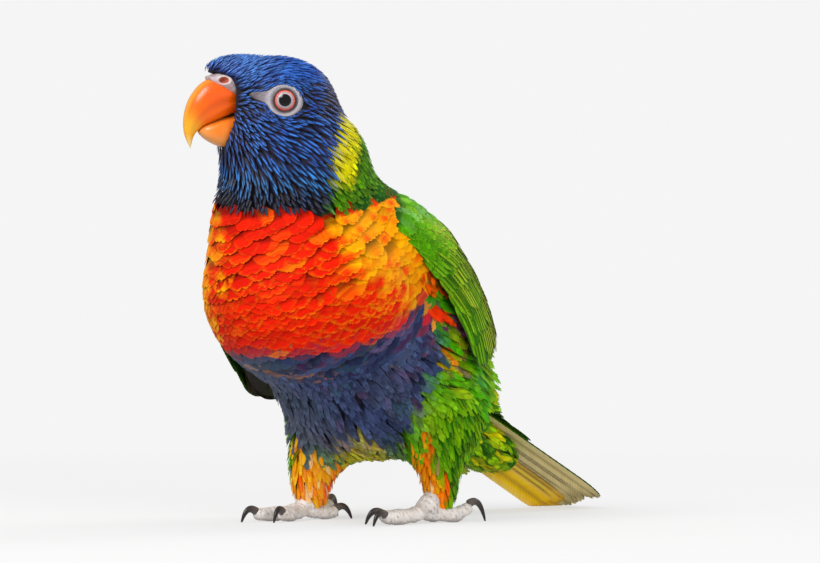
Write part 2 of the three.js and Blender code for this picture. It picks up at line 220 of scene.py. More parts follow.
SPINE = curve([[1, 46, 34], [0, 18, 50], [0, -6, 66], [0, -19, 84], [-0.8, -29, 104], [-1.7, -38.5, 122]],
              121)
SPINE_AHEAD = unit(np.gradient(SPINE, axis=0))
SPINE_LEFT = unit(np.array([1.0, 0, 0]) - SPINE_AHEAD * SPINE_AHEAD[:, :1])
SPINE_BACK = np.cross(SPINE_LEFT, SPINE_AHEAD)


def nearest(points, line):
    """For each point, the number of the nearest knot of a line."""
    best = np.full(len(points), 1e9)
    which = np.zeros(len(points), int)
    for index, knot in enumerate(line):
        distance = ((points - knot) ** 2).sum(-1)
        closer = distance < best
        best[closer], which[closer] = distance[closer], index
    return which


def unwrap(points):
    """Lays the coat out flat: across is the way round the spine, up is the way along it."""
    index = nearest(points, SPINE)
    away = unit(points - SPINE[index])
    to_left, to_back = (away * SPINE_LEFT[index]).sum(-1), (away * SPINE_BACK[index]).sum(-1)
    around = np.arctan2(to_left, to_back) / (2 * np.pi) + 0.5
    past_end = np.arcsin(np.clip((away * SPINE_AHEAD[index]).sum(-1), -1, 1)) / np.pi
    along = 0.25 + 0.5 * index / (len(SPINE) - 1)
    along = np.where(index == 0, 0.25 + 0.5 * np.minimum(past_end, 0), along)
    along = np.where(index == len(SPINE) - 1, 0.75 + 0.5 * np.maximum(past_end, 0), along)
    return np.stack([around, along], -1)


print("spine length in millimetres:", round(float(norm(np.diff(SPINE, axis=0), axis=1).sum()), 1))

# %% [markdown]
# Colours are written as screen values, as a painter would pick them, and turned into the linear values that
# Blender's shaders and colour attributes use. A little smooth noise, made of a few waves, mottles them.

# %% Colour and noise helpers
def paint(red, green, blue):
    """A screen colour, 0 to 255, as the linear values that shaders use."""
    screen = np.array([red, green, blue]) / 255
    return np.where(screen <= 0.04045, screen / 12.92, ((screen + 0.055) / 1.055) ** 2.4)


def blend(one, other, share):
    share = np.clip(np.asarray(share)[..., None], 0, 1)
    return one * (1 - share) + other * share


def waves(points, size, seed):
    """Smooth mottling between about -1 and 1, with spots of about half the size given."""
    rng = np.random.default_rng(seed)
    total = np.zeros(points.shape[:-1])
    for _ in range(7):
        direction = unit(rng.normal(size=3)) * (2 * np.pi / size) * rng.uniform(0.6, 1.5)
        total += np.sin(points @ direction + rng.uniform(0, 7))
    return total / 2.6


BLUE, BLUE_LIGHT, BLUE_CYAN = paint(20, 76, 184), paint(60, 132, 228), paint(56, 156, 218)
BLUE_DARK, HEAD_BROWN = paint(12, 28, 70), paint(36, 26, 28)
YELLOW, YELLOW_GREEN, GREEN = paint(222, 210, 2), paint(136, 182, 8), paint(66, 152, 2)
GREEN_DARK, GREEN_DEEP, LIME = paint(26, 92, 12), paint(14, 58, 14), paint(152, 206, 44)
RED, RED_DEEP, ORANGE, AMBER = paint(236, 30, 2), paint(200, 16, 2), paint(250, 88, 0), paint(255, 166, 0)
NAVY, NAVY_LIGHT, SLATE = paint(36, 44, 80), paint(76, 92, 136), paint(104, 112, 130)
PURPLE, TEAL, SOOT = paint(92, 40, 80), paint(18, 80, 76), paint(24, 20, 24)
OLIVE, GOLD, TAN = paint(158, 140, 52), paint(255, 204, 2), paint(246, 226, 162)

print("palette ready")

# %% [markdown]
# The markings are one function of the place on the bird, so skin and feathers always agree. For each point it
# gives the colour of the feather's middle, the colour of its edge, how much it belongs to the hood, and how
# orange the breast is there. `OUTWARD` points left and a little back, the way the left hip faces.

# %% Where colours meet
OUTWARD = np.array([0.819, 0.574, 0.0])


def hood_edge(z):
    """How far forward of the head's middle the blue of the hood ends, at each height."""
    return np.interp(z, [88, 96, 108, 121, 127], [-9, -12, -14.3, -18.5, -34])


def throat_end(x, y):
    """The height at which the blue throat ends and the red breast begins."""
    return 90.2 + 0.26 * np.maximum(0, y + 42) + 0.28 * np.maximum(0, -x - 3) * smooth(y, -20, -40)


def breast_end(y):
    """The height at which the red breast ends and the dark belly begins."""
    return 51 + 0.0085 * np.maximum(0, y + 48) ** 2


def wing_front(z):
    """How far back the front edge of the folded wing lies, at each height."""
    return np.interp(z, [48, 60, 70, 83, 98, 104], [14, 6, 0, -6, -12, -13])


print("height of the red breast:", round(float(throat_end(0, -48) - breast_end(-48)), 1), "mm")


# %% The markings
def markings(p):
    """Colours of feather middles and edges, the share of hood, and the share of orange on the breast."""
    x, y, z = p[:, 0], p[:, 1], p[:, 2]
    ahead, _, up = head_parts(p)
    small, broad = waves(p, 7, 1), waves(p, 22, 2)
    # trunk: green above, dark blue and mottled below
    green = blend(GREEN, GREEN_DARK, 0.35 + 0.3 * broad)
    middle, edge = green, blend(LIME, GREEN, 0.35 + 0.3 * small)
    belly = blend(NAVY, NAVY_LIGHT, 0.25 + 0.4 * small)
    belly = blend(belly, SOOT, smooth(z, 46, 24) * 0.35 + 0.3 * waves(p, 5, 9))
    belly = blend(belly, SLATE, 0.55 * smooth(x, 12, -8))
    belly = blend(belly, PURPLE, smooth(waves(p, 9, 8) + 0.02 * x, 0.7, 1.4) * 0.45)
    belly = blend(belly, TEAL, smooth(waves(p, 12, 3), 0.6, 1.3) * 0.35)
    belly_edge = blend(NAVY_LIGHT, SLATE, 0.45 + 0.4 * broad - 0.014 * x)
    belly_edge = blend(belly_edge, belly, 0.2 + 0.3 * smooth(x, 5, 20))
    low_tips = smooth(z + 2 * small, 26, 20) * smooth(y, -8, 2)
    belly_edge = blend(belly_edge, YELLOW_GREEN, low_tips * 0.8)
    off_middle = np.abs(OUTWARD[0] * x + OUTWARD[1] * y - 1 + 2 * small)
    vent_tuft = smooth(off_middle, 9, 5) * smooth(z + 1.5 * small, 26, 22)
    belly = blend(belly, blend(YELLOW, AMBER, 0.3 + 0.3 * small), vent_tuft)
    front = wing_front(z)
    ventral = smooth(y + 2.2 * small, front + 5, front - 1)
    under = smooth(z, 42, 30) * smooth(y, 46, 34)
    below = np.maximum(ventral, under)
    middle, edge = blend(middle, belly, below), blend(edge, belly_edge, below)
    # hips: green, with yellow streaks
    hip_line = np.interp(z, [26, 38, 46, 54], [13, 19.5, 24.5, 27])
    round_side = OUTWARD[0] * np.abs(x) + OUTWARD[1] * y + 1.6 * small - hip_line
    hip = smooth(round_side, -0.8, 1.2) * smooth(z + small, 58, 54) * smooth(y, -4, 2)
    hip_teal = smooth(round_side, 5, 0) * smooth(z, 34, 42) * 0.55
    hips = blend(blend(GREEN, YELLOW_GREEN, 0.25 + 0.35 * broad), TEAL, hip_teal)
    middle, edge = blend(middle, hips, hip), blend(edge, blend(hips, LIME, 0.4), hip)
    # flank tufts between the breast and the wing
    flank = smooth(np.abs(x), 19, 24) * smooth(y, front - 12, front - 4) * smooth(y, front + 8, front + 2)
    flank = flank * smooth(z, 36, 46) * smooth(z, 82, 70)
    patch = waves(p, 9, 4)
    tuft = blend(GREEN, AMBER, smooth(patch, -0.1, 0.5))
    tuft = blend(tuft, RED, smooth(patch, 0.7, 1.1))
    tuft = blend(tuft, PURPLE, smooth(waves(p, 8, 5), 0.5, 1.0) * 0.8)
    middle, edge = blend(middle, tuft, flank * 0.9), blend(edge, tuft, flank * 0.8)
    # breast: red with orange edges, more orange towards the sides
    chest = smooth(z + 1.2 * small, breast_end(y) - 1.5, breast_end(y) + 1.5)
    chest = chest * smooth(y, front + 1, front - 2.5)
    throat = throat_end(x, y) + 0.8 * small
    chest = chest * smooth(z, throat + 0.4, throat - 0.4)
    left_side = norm((p - [25, -20, 87]) / [1, 1, 1.05], axis=-1) + 2.5 * broad + 1.5 * small
    right_side = norm((p - [-24, -44, 75]) / [0.8, 0.8, 1.0], axis=-1) + 4 * broad + 4 * small
    right_share = smooth(right_side, 29, 7) * (0.45 + 0.55 * smooth(z + 5 * broad, 46, 68))
    sides = np.maximum(smooth(left_side, 27, 13), right_share)
    red = blend(RED, RED_DEEP, 0.2 + 0.3 * small)
    red = blend(red, ORANGE, smooth(sides, 0.1, 0.4) * 0.35)
    red_edge = blend(blend(ORANGE, AMBER, 0.45 + 0.4 * broad), AMBER, sides)
    red_edge = blend(red_edge, red, smooth(z, throat_end(x, y) - 12, throat_end(x, y) - 4) * 0.7)
    rim = smooth(z, breast_end(y) + 5, breast_end(y)) * 0.5
    red, red_edge = blend(red, PURPLE, rim * smooth(small, -0.2, 0.8)), blend(red_edge, PURPLE, rim * 0.7)
    middle, edge = blend(middle, red, chest), blend(edge, red_edge, chest)
    # hindneck and collar
    top = smooth(z, throat - 0.4, throat + 0.4)
    nape = blend(GREEN_DARK, GREEN, 0.3 + 0.4 * small)
    nape = blend(nape, GREEN_DEEP, smooth(z, throat_end(x, y) + 9, throat_end(x, y)) * 0.5)
    hood = hood_edge(z)
    collar = smooth(ahead, hood - 9.5, hood - 6) * smooth(z, 97, 104) * smooth(z, 131, 124)
    nape_edge = blend(nape, YELLOW_GREEN, 0.45)
    nape, nape_edge = blend(nape, YELLOW, collar), blend(nape_edge, YELLOW, collar * 0.8)
    middle, edge = blend(middle, nape, top), blend(edge, nape_edge, top)
    # hood
    hooded = top * smooth(ahead + 0.9 * small, hood - 0.8, hood + 1.2)
    crown = smooth(up, 4, 10)
    blue = blend(BLUE_DARK, HEAD_BROWN, 0.45 + 0.4 * small)
    blue = blend(blue, BLUE, crown * 0.35)
    blue = blend(blue, HEAD_BROWN, smooth(ahead, -8, -15) * smooth(up, -8, 0) * 0.8)
    blue = blend(blue, SOOT, smooth(z, 104, 94) * 0.6)
    streak = blend(BLUE_LIGHT, BLUE, 0.4 + 0.3 * small)
    streak = blend(streak, BLUE_CYAN, smooth(z, 110, 100) * 0.6)
    streak = blend(streak, BLUE, crown * 0.35 * smooth(ahead, 4, -2))
    streak = blend(streak, paint(110, 156, 214), crown * 0.4 * smooth(ahead, -2, 6))
    streak = blend(streak, blend(BLUE_DARK, SOOT, 0.6), smooth(z, throat + 13, throat + 4) * 0.95)
    streak = blend(streak, paint(96, 88, 92), smooth(ahead, -10, -15) * smooth(up, -6, 3) * 0.75)
    middle, edge = blend(middle, blue, hooded), blend(edge, streak, hooded)
    # vent and undertail
    rear = smooth(y, 38, 48) * smooth(z, 44, 36)
    vent = blend(YELLOW_GREEN, GREEN_DARK, smooth(waves(p, 8, 6), -0.2, 0.4))
    vent = blend(vent, YELLOW, smooth(waves(p, 7, 7), 0.25, 0.8))
    middle, edge = blend(middle, vent, rear), blend(edge, vent, rear * 0.7)
    return middle, edge, hooded, chest * sides


print("markings of one breast point:", np.round(markings(np.array([[0.0, -55, 70]]))[0], 2))

# %% [markdown]
# Feathers lie like the flow of water: away from the bill over the head, parting round each eye, then down
# the breast and back along the body to the tail, and down on the thighs. One function gives that direction
# anywhere.

# %% The lie of the feathers
BILL_ROOT = in_head(13.0, 0.0, 0.0)
RING = 4.6


def eye_axis(side):
    """The way an eye looks: outward, and turned 12 degrees forward."""
    turned = math.radians(12)
    return unit(math.sin(turned) * FORWARD + math.cos(turned) * SIDE * (1 if side == "left" else -1))


SIGNS = {"left": 1, "right": -1}
EYES = {side: in_head(EYE["forward"], EYE["side"] * sign, EYE["up"]) for side, sign in SIGNS.items()}


def bell(value, width):
    """1 where the value is 0, falling off on both sides over about the width."""
    return np.exp(-((value / width) ** 2))


def bare_edge(angle):
    """How far the bare skin reaches from the eye; the narrow bell is the streak over the lores."""
    ahead = np.abs((angle - math.radians(10) + np.pi) % (2 * np.pi) - np.pi)
    return RING + 0.9 * bell(ahead, 0.6) + 4.4 * bell(ahead, 0.19) + 0.25 * np.cos(angle) ** 2


def round_eye(points, side):
    """How far points lie from the eye's axis, at what angle from straight ahead, and the way out to them."""
    axis = eye_axis(side)
    across = points - EYES[side]
    across = across - (across @ axis)[:, None] * axis
    radius = norm(across, axis=-1)
    return radius, np.arctan2(across @ UP, across @ FORWARD), across


def lie(points, legs=False):
    """The direction in which feathers point."""
    away = points - BILL_ROOT
    share = smooth(norm(away, axis=-1), 55, 100)[:, None]
    upper = smooth(away @ UP, -1, 5)[:, None] * (1 - share)
    away = away - upper * (12 * FORWARD + 1.0 * UP)
    flow = unit(unit(away) * (1 - share) - SPINE_AHEAD[nearest(points, SPINE)] * share)
    if legs:
        flow = unit(flow * 0.15 + np.array([0, 0.15, -1.0]))
    for side, sign in SIGNS.items():
        radius, _, across = round_eye(points, side)
        close = ((points - HEAD_CENTRE) @ SIDE * sign > 4) & (radius < 16)
        out = unit(across)
        ratio = (np.minimum(RING / np.maximum(radius, RING), 1) ** 2)[:, None]
        parted = flow * (1 + ratio) - 2 * ratio * (flow * out).sum(-1, keepdims=True) * out
        flow = np.where(close[:, None], unit(parted), flow)
    return flow


print("lie at the breast:", np.round(lie(np.array([[0.0, -57, 70]]))[0], 2))


# %% Centre lines and spacing
def trace(roots, length, depth, knots=6, tip=0.0, sway=0.0, seed=0, legs=False):
    """Centre lines of feathers: from the skin, along the lie, up to the outline of the plumage."""
    rng = np.random.default_rng(seed)
    turn = rng.normal(0, 1, len(roots))[:, None] * sway
    points = settle(roots, -depth)
    line, normals = [], []
    for step in range(knots):
        normal = unit(slope(points, WHOLE)[1])
        line.append(points)
        normals.append(normal)
        flow = lie(points, legs)
        flow = unit(flow - (flow * normal).sum(-1, keepdims=True) * normal)
        flow = unit(flow + turn * np.cross(normal, flow))
        share = (step + 1) / (knots - 1)
        ahead = points + flow * (length / (knots - 1))[:, None]
        points = settle(ahead, -depth + (depth + tip) * share, WHOLE, 1)
    return np.stack(line, 1), np.stack(normals, 1)


def scatter(points, spacing, seed):
    """Picks points so that no two are closer than the spacing, which may differ from point to point."""
    cell = float(spacing.max())
    grid, kept = {}, []
    keys = np.floor(points / cell).astype(int)
    for index in np.random.default_rng(seed).permutation(len(points)):
        x, y, z = keys[index]
        near = []
        for cell_x in (x - 1, x, x + 1):
            for cell_y in (y - 1, y, y + 1):
                for cell_z in (z - 1, z, z + 1):
                    near += grid.get((cell_x, cell_y, cell_z), ())
        reach = spacing[index] ** 2
        if not near or ((points[near] - points[index]) ** 2).sum(-1).min() > reach:
            grid.setdefault((x, y, z), []).append(index)
            kept.append(index)
    return np.array(kept)


print("points kept of three too close:", len(scatter(np.eye(3), np.full(3, 1.5), 0)))

# %% [markdown]
# A feather is a shaft with barbs that leave it at a slant. The pattern of one kind of feather is drawn flat
# once: barb lines run from the shaft to the outline, short loose tips stick out at the edge, and the pattern
# is then laid along thousands of centre lines and bent to them. The vane is cupped, so its edge tucks down.

# %% Feather patterns
def taper(along, start, reach, power):
    """1 up to the start, then falling to 0 over the reach."""
    return np.clip(1 - (np.clip(along - start, 0, 1) / reach) ** power, 0, 1)


def contour(along):
    """The half width of a broad body feather with a round end."""
    return np.minimum(1, (along / 0.5)) ** 0.8 * np.sqrt(taper(along, 0.55, 0.455, 2.2))


def lance(along):
    """The half width of a narrow pointed feather."""
    return np.minimum(1, along / 0.3) ** 0.7 * taper(along, 0.35, 0.66, 1.5) ** 0.8


def quill(along):
    """The half width of a long stiff feather with straight sides."""
    return np.minimum(1, 0.55 + along / 0.5) * np.sqrt(taper(along, 0.8, 0.205, 2))


def stamp(barbs, outline, steps, slant):
    """A flat pattern: for each point its place along and across, how far out on its barb, and which barb."""
    numbers = np.arange(barbs + 1)
    start = numbers / barbs
    shaft, reach = 0.95 * start, slant + (1 - slant) * start ** 0.92
    along, across, out, barb = [*shaft], [0.0] * (barbs + 1), [0.0] * (barbs + 1), [*(start * barbs)]
    faces = []
    for sign in (1, -1):
        last = numbers
        for step in steps:
            row = len(along) + numbers
            along += [*(shaft + (reach - shaft) * step)]
            across += [*(sign * outline(reach) * step ** 0.9)]
            out += [step] * (barbs + 1)
            barb += [*(start * barbs)]
            for k in range(barbs):
                faces += [[last[k], last[k + 1], row[k + 1]][::sign], [last[k], row[k + 1], row[k]][::sign]]
            last = row
        middle = (reach[1:] + reach[:-1]) / 2
        faces += [[last[k], last[k + 1], len(along) + k][::sign] for k in range(barbs)]
        along += [*np.minimum(middle + 0.25 / barbs, 1.02)]
        across += [*(sign * outline(middle))]
        out += [1.0] * barbs
        barb += [*(numbers[:-1] + 0.5)]
    drawn = {"along": along, "across": across, "out": out, "barb": barb, "faces": faces}
    return {part: np.array(values) for part, values in drawn.items()}


# %% Patterns laid along lines
def lay(line, normals, width, pattern, cup=0.12, ridge=0.0, relief=0.02, tilt=0.0):
    """Bends a pattern to centre lines and returns the points, feathers by vertices."""
    knots = line.shape[1]
    place = np.clip(pattern["along"], 0, 1) * (knots - 1)
    knot = np.minimum(place.astype(int), knots - 2)
    share = (place - knot)[None, :, None]
    before, after = line[:, np.maximum(knot - 1, 0)], line[:, np.minimum(knot + 2, knots - 1)]
    start, end = line[:, knot], line[:, knot + 1]
    centre = between(before, start, end, after, share)
    at_end = ((knot == 0) | (knot == knots - 2))[None, :, None]
    centre = np.where(at_end, start + (end - start) * share, centre)
    ahead = unit(np.gradient(line, axis=1))
    ahead = unit(ahead[:, knot] * (1 - share) + ahead[:, knot + 1] * share)
    normal = normals[:, knot] * (1 - share) + normals[:, knot + 1] * share
    side = unit(np.cross(normal, ahead))
    normal = np.cross(ahead, side)
    half = width[:, None] / 2
    across = pattern["across"][None]
    height = half * (ridge * bell(across, 0.3) - cup * across * across - tilt * across)
    height = height + relief * np.cos(np.pi * pattern["barb"])[None]
    return centre + side * (half * across)[..., None] + normal * height[..., None]


# %% Every kind of feather
PATTERNS = {
    "hood": stamp(7, lance, (0.3, 0.6, 0.88), 0.2),
    "fine": stamp(5, lance, (0.4, 0.85), 0.2),
    "neck": stamp(8, contour, (0.45, 0.8), 0.25),
    "breast": stamp(23, contour, (0.3, 0.6, 0.88), 0.14),
    "belly": stamp(12, contour, (0.45, 0.78), 0.22),
    "back": stamp(14, contour, (0.45, 0.86), 0.16),
    "thigh": stamp(7, contour, (0.5, 0.8), 0.3),
    "covert": stamp(18, contour, (0.3, 0.62, 0.9), 0.14),
    "long": stamp(26, quill, (0.35, 0.7, 0.95), 0.1),
    "quill": stamp(44, quill, (0.35, 0.7, 0.97), 0.07),
}
for name, pattern in PATTERNS.items():
    print(f"{name}: {len(pattern['faces'])} triangles a feather")

# %% [markdown]
# Pieces of many feathers are built from arrays of points, triangles and colours. Two flat maps go with them:
# one counts barbs and runs from shaft to edge, for the fine stripes of the material, and the other, for
# baking, puts each feather as a tiny patch at its root's place on the skin laid out flat.

# %% Building meshes and finishing pieces
def piece(obj, name, material, slot, replaces=()):
    """Finishes one piece: its name, its material, what it rides on, and the solids it replaces; the slot is
    not used.
    """
    obj.name = obj.data.name = name
    obj.data.materials.clear()
    obj.data.materials.append(material)
    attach(obj, "root")
    if replaces:
        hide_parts(*replaces)
    print(f"{name}: {sum(len(p.vertices) - 2 for p in obj.data.polygons)} triangles")
    return obj


def set_colours(mesh, colours):
    values = np.concatenate([np.clip(colours, 0, 1), np.ones((len(colours), 1))], 1).astype(np.float32)
    mesh.color_attributes.new("Col", "FLOAT_COLOR", "POINT").data.foreach_set("color", values.ravel())


def set_map(mesh, name, values):
    """A flat map from one pair of values for each point."""
    corners = np.zeros(len(mesh.loops), int)
    mesh.loops.foreach_get("vertex_index", corners)
    layer = mesh.uv_layers.get(name) or mesh.uv_layers.new(name=name)
    layer.data.foreach_set("uv", values[corners].astype(np.float32).ravel())


# %% Coats of many feathers
def feathers(points, pattern, colours, roots, spread=0.003):
    """One batch: points and colours are feathers by vertices, roots their places on the flat skin."""
    count, size = points.shape[:2]
    faces = (pattern["faces"][None] + np.arange(count)[:, None, None] * size).reshape(-1, 3)
    barb = np.broadcast_to(np.stack([pattern["barb"], pattern["out"]], -1), (count, size, 2))
    place = np.stack([pattern["along"] - 0.5, pattern["across"] / 2], -1) * spread
    flat = 0.01 + 0.98 * np.clip(roots, 0, 1)[:, None, :] + place[None]
    return points.reshape(-1, 3), faces, colours.reshape(-1, 3), barb.reshape(-1, 2), flat.reshape(-1, 2)


def coat(name, batches, material, slot, replaces=()):
    """Joins batches of feathers into one piece."""
    start, rows = 0, [[] for _ in range(5)]
    for batch in batches:
        for row, values in zip(rows, batch):
            row.append(values + start if row is rows[1] else values)
        start += len(batch[0])
    points, faces, colours, barb, flat = (np.concatenate(row) for row in rows)
    points[:, 2] = np.maximum(points[:, 2], 0.25)
    mesh = bpy.data.meshes.new(name)
    mesh.vertices.add(len(points))
    mesh.vertices.foreach_set("co", metres(points).astype(np.float32).ravel())
    mesh.loops.add(faces.size)
    mesh.loops.foreach_set("vertex_index", faces.astype(np.int32).ravel())
    mesh.polygons.add(len(faces))
    mesh.polygons.foreach_set("loop_start", np.arange(0, faces.size, 3, dtype=np.int32))
    mesh.polygons.foreach_set("use_smooth", np.ones(len(faces), bool))
    mesh.update(calc_edges=True)
    set_colours(mesh, colours)
    set_map(mesh, "OFBake", flat)
    set_map(mesh, "Barb", barb)
    obj = bpy.data.objects.new(name, mesh)
    bpy.context.scene.collection.objects.link(obj)
    return piece(obj, name, material, slot, replaces)


# %% Single forms
def vertices(obj):
    """The points of an object as they stand in Blender."""
    values = np.zeros(len(obj.data.vertices) * 3)
    obj.data.vertices.foreach_get("co", values)
    return values.reshape(-1, 3)


def ball(ring_count, sides):
    """A ball, with each point's share of the way from pole to pole and of the way round."""
    bpy.ops.mesh.primitive_uv_sphere_add(segments=sides, ring_count=ring_count, radius=1)
    obj = bpy.context.object
    at = vertices(obj)
    return obj, np.arccos(np.clip(at[:, 2], -1, 1)) / np.pi, np.arctan2(at[:, 1], at[:, 0]) / (2 * np.pi) % 1


def move(obj, points):
    """Puts the vertices at points given in the bird's millimetres."""
    obj.data.vertices.foreach_set("co", metres(points).astype(np.float32).ravel())
    obj.data.update()


def where(obj):
    """The points of an object in the bird's millimetres."""
    return (vertices(obj) - SHIFT) * 1000


def select(*objects):
    """Selects these objects only, the first one active."""
    bpy.ops.object.select_all(action="DESELECT")
    for obj in objects:
        obj.select_set(True)
    bpy.context.view_layer.objects.active = objects[0]


def tidy_faces(obj):
    """Turns all faces outward and shades them smooth."""
    select(obj)
    bpy.ops.object.mode_set(mode="EDIT")
    bpy.ops.mesh.select_all(action="SELECT")
    bpy.ops.mesh.normals_make_consistent(inside=False)
    bpy.ops.object.mode_set(mode="OBJECT")
    bpy.ops.object.shade_smooth()


def apply(obj, kind, **settings):
    """Adds one modifier and applies it."""
    select(obj)
    modifier = obj.modifiers.new(kind.title(), kind)
    for key, value in settings.items():
        setattr(modifier, key, value)
    bpy.ops.object.modifier_apply(modifier=modifier.name)


def join(objects):
    select(*objects)
    bpy.ops.object.join()
    return bpy.context.object


print("tools ready")

# %% [markdown]
# The finishes are few. Feathers take their colour from the mesh, with fine stripes across the barbs, and are
# half matt, since keratin barbs shine a little. Bare skin and horn add their own pores, scales and growth
# lines.

# %% Materials
def material(name, roughness, **inputs):
    made = bpy.data.materials.new(name)
    made.use_nodes = True
    tree = made.node_tree
    shader = tree.nodes["Principled BSDF"]
    shader.inputs["Roughness"].default_value = roughness
    for key, value in inputs.items():
        shader.inputs[key.replace("_", " ")].default_value = value
    return made, tree, shader


def node(tree, kind, **settings):
    """A new node; each setting is the value of an input of that name, or else a property."""
    made = tree.nodes.new(kind)
    for key, value in settings.items():
        if key in made.inputs:
            made.inputs[key].default_value = value
        else:
            setattr(made, key, value)
    return made


def bump(tree, shader, height, strength, distance):
    made = node(tree, "ShaderNodeBump", Strength=strength, Distance=distance)
    tree.links.new(height, made.inputs["Height"])
    tree.links.new(made.outputs["Normal"], shader.inputs["Normal"])


# %% Finishes of feathers, and of skin and horn
def plumage(name, roughness, stripe=0.16, relief=0.25, shine=0.2):
    """The finish of feathers: the mesh's colours, with a fine light and dark stripe for each barb."""
    made, tree, shader = material(name, roughness, Specular_IOR_Level=shine)
    link = tree.links.new
    colour = node(tree, "ShaderNodeVertexColor", layer_name="Col")
    flat = node(tree, "ShaderNodeUVMap", uv_map="Barb")
    split = node(tree, "ShaderNodeSeparateXYZ")
    link(flat.outputs["UV"], split.inputs["Vector"])
    count = node(tree, "ShaderNodeMath", operation="MULTIPLY")
    count.inputs[1].default_value = 4 * math.pi
    link(split.outputs["X"], count.inputs[0])
    wave = node(tree, "ShaderNodeMath", operation="SINE")
    link(count.outputs[0], wave.inputs[0])
    shade = node(tree, "ShaderNodeMath", operation="MULTIPLY_ADD")
    shade.inputs[1].default_value, shade.inputs[2].default_value = stripe, 1.0
    link(wave.outputs[0], shade.inputs[0])
    striped = node(tree, "ShaderNodeVectorMath", operation="SCALE")
    link(colour.outputs["Color"], striped.inputs[0])
    link(shade.outputs[0], striped.inputs["Scale"])
    link(striped.outputs["Vector"], shader.inputs["Base Color"])
    bump(tree, shader, wave.outputs[0], relief, 0.0001)
    return made


def painted(name, roughness, scale, strength, distance, coat=0.0, voronoi=False, subsurface=0.0):
    """The finish of skin and horn: the mesh's colours, with a small procedural relief."""
    made, tree, shader = material(name, roughness, Coat_Weight=coat, Subsurface_Weight=subsurface,
                                  Subsurface_Scale=0.001)
    colour = node(tree, "ShaderNodeVertexColor", layer_name="Col")
    tree.links.new(colour.outputs["Color"], shader.inputs["Base Color"])
    place = node(tree, "ShaderNodeTexCoord")
    kind = "ShaderNodeTexVoronoi" if voronoi else "ShaderNodeTexNoise"
    texture = node(tree, kind, Scale=scale)
    tree.links.new(place.outputs["Object"], texture.inputs["Vector"])
    height = texture.outputs["Distance"] if voronoi else texture.outputs[0]
    bump(tree, shader, height, strength, distance)
    return made


# %% This bird's finishes
HOOD_COAT = plumage("hood_plumage", 0.42, 0.12, 0.2, 0.3)
BODY_COAT = plumage("body_plumage", 0.6, shine=0.06)
WING_COAT = plumage("wing_plumage", 0.55, shine=0.05)
TAIL_COAT = plumage("tail_plumage", 0.5, shine=0.15)
DOWN = painted("down", 0.9, 1500, 0.5, 0.0003)
HORN = painted("bill_horn", 0.27, 700, 0.06, 0.0002, subsurface=0.15)
BARE = painted("bare_skin", 0.5, 1800, 0.35, 0.0001, voronoi=True)
EYEBALL = painted("eyeball", 0.1, 3000, 0.0, 0.0001, coat=0.8)
EYEBALL.node_tree.nodes["Principled BSDF"].inputs["Specular IOR Level"].default_value = 0.05
FOOT_SKIN = painted("foot_skin", 0.55, 1500, 0.6, 0.0002, voronoi=True)
CLAW_HORN = painted("claw_horn", 0.3, 900, 0.15, 0.0002)
print("materials:", len(bpy.data.materials))

# %% [markdown]
# The skin is one closed form under all the plumage of the head, neck, trunk and thighs. On the real bird it
# is never seen except as a dark downy ground between feathers. Balls shaped to the masses are joined, fused
# by a remesh, and then drawn in to where the feathers root, shallow on the face and deep on the breast and
# belly.

# %% Skin
def depth_of(points):
    """How deep under the outline of the plumage the feathers root."""
    before_eyes = [EYES[side] + 3 * eye_axis(side) for side in EYES]
    eye_near = np.minimum(*(norm(points - at, axis=-1) for at in before_eyes))
    depth = 1.9 + 0.4 * smooth(points[:, 2], 70, 50)
    depth = depth + (0.9 - depth) * smooth(points[:, 2], 92, 106)
    depth = depth + (1.2 - depth) * smooth(points[:, 2], 30, 18)
    bill_near = norm(points - in_head(14, 0, 0), axis=-1)
    depth = 0.35 + (depth - 0.35) * smooth(eye_near, 5, 10) * smooth(bill_near, 8, 15)
    return depth + 3.0 * smooth(eye_near, 5.0, 3.9)


def lump(at, half, axes):
    """A ball shaped to one egg shape, half a millimetre smaller."""
    bpy.ops.mesh.primitive_ico_sphere_add(subdivisions=4, radius=1)
    obj = bpy.context.object
    move(obj, at + (vertices(obj) * (half - 0.5)) @ axes.T)
    return obj


skin = join([lump(*shape) for shape in WHOLE])
apply(skin, "REMESH", mode="VOXEL", voxel_size=0.0015)
for hollow in (MOUTH, CERE_BED):
    cutter = lump(*hollow)
    apply(skin, "BOOLEAN", operation="DIFFERENCE", object=cutter, solver="EXACT")
    bpy.data.objects.remove(cutter)
apply(skin, "REMESH", mode="VOXEL", voxel_size=0.0012)
apply(skin, "SMOOTH", factor=0.5, iterations=8)
points = where(skin)
for _ in range(4):
    step = settle(points, -depth_of(points) - 0.25, WHOLE, 1) - points
    points = points + unit(step) * np.minimum(norm(step, axis=-1, keepdims=True), 1.5)
move(skin, points)
apply(skin, "SMOOTH", factor=0.4, iterations=2)
points = where(skin)
select(skin)
bpy.ops.object.shade_smooth()
middle, _, hooded, _ = markings(points)
dark = blend(blend(middle, paint(40, 34, 34), 0.45), SOOT, hooded * 0.75)
set_colours(skin.data, dark)
set_map(skin.data, "OFBake", 0.01 + 0.98 * unwrap(points))
piece(skin, "skin", DOWN, "plumage_neck", ("head", "neck", "trunk", "left_thigh", "right_thigh"))

# %% [markdown]
# Each eye is a whole ball, set so deep that only its front shows. From the middle out: a round black pupil,
# a thin grey ring, and a pink to red iris. It is one opaque glossy ball, since a clear dome adds nothing at
# this size. Its colours are painted in rings round the axis of sight.

# %% Eyes
def rings(radius, knots):
    """Colours in rings: each knot gives a radius in millimetres and the colour reached there."""
    colour = np.array(knots[0][1])[None].repeat(len(radius), 0)
    for (start, _), (end, after) in zip(knots[:-1], knots[1:]):
        share = np.clip((radius - start) / (end - start), 0, 1)[:, None]
        colour = colour * (1 - share) + np.array(after) * share
    return colour


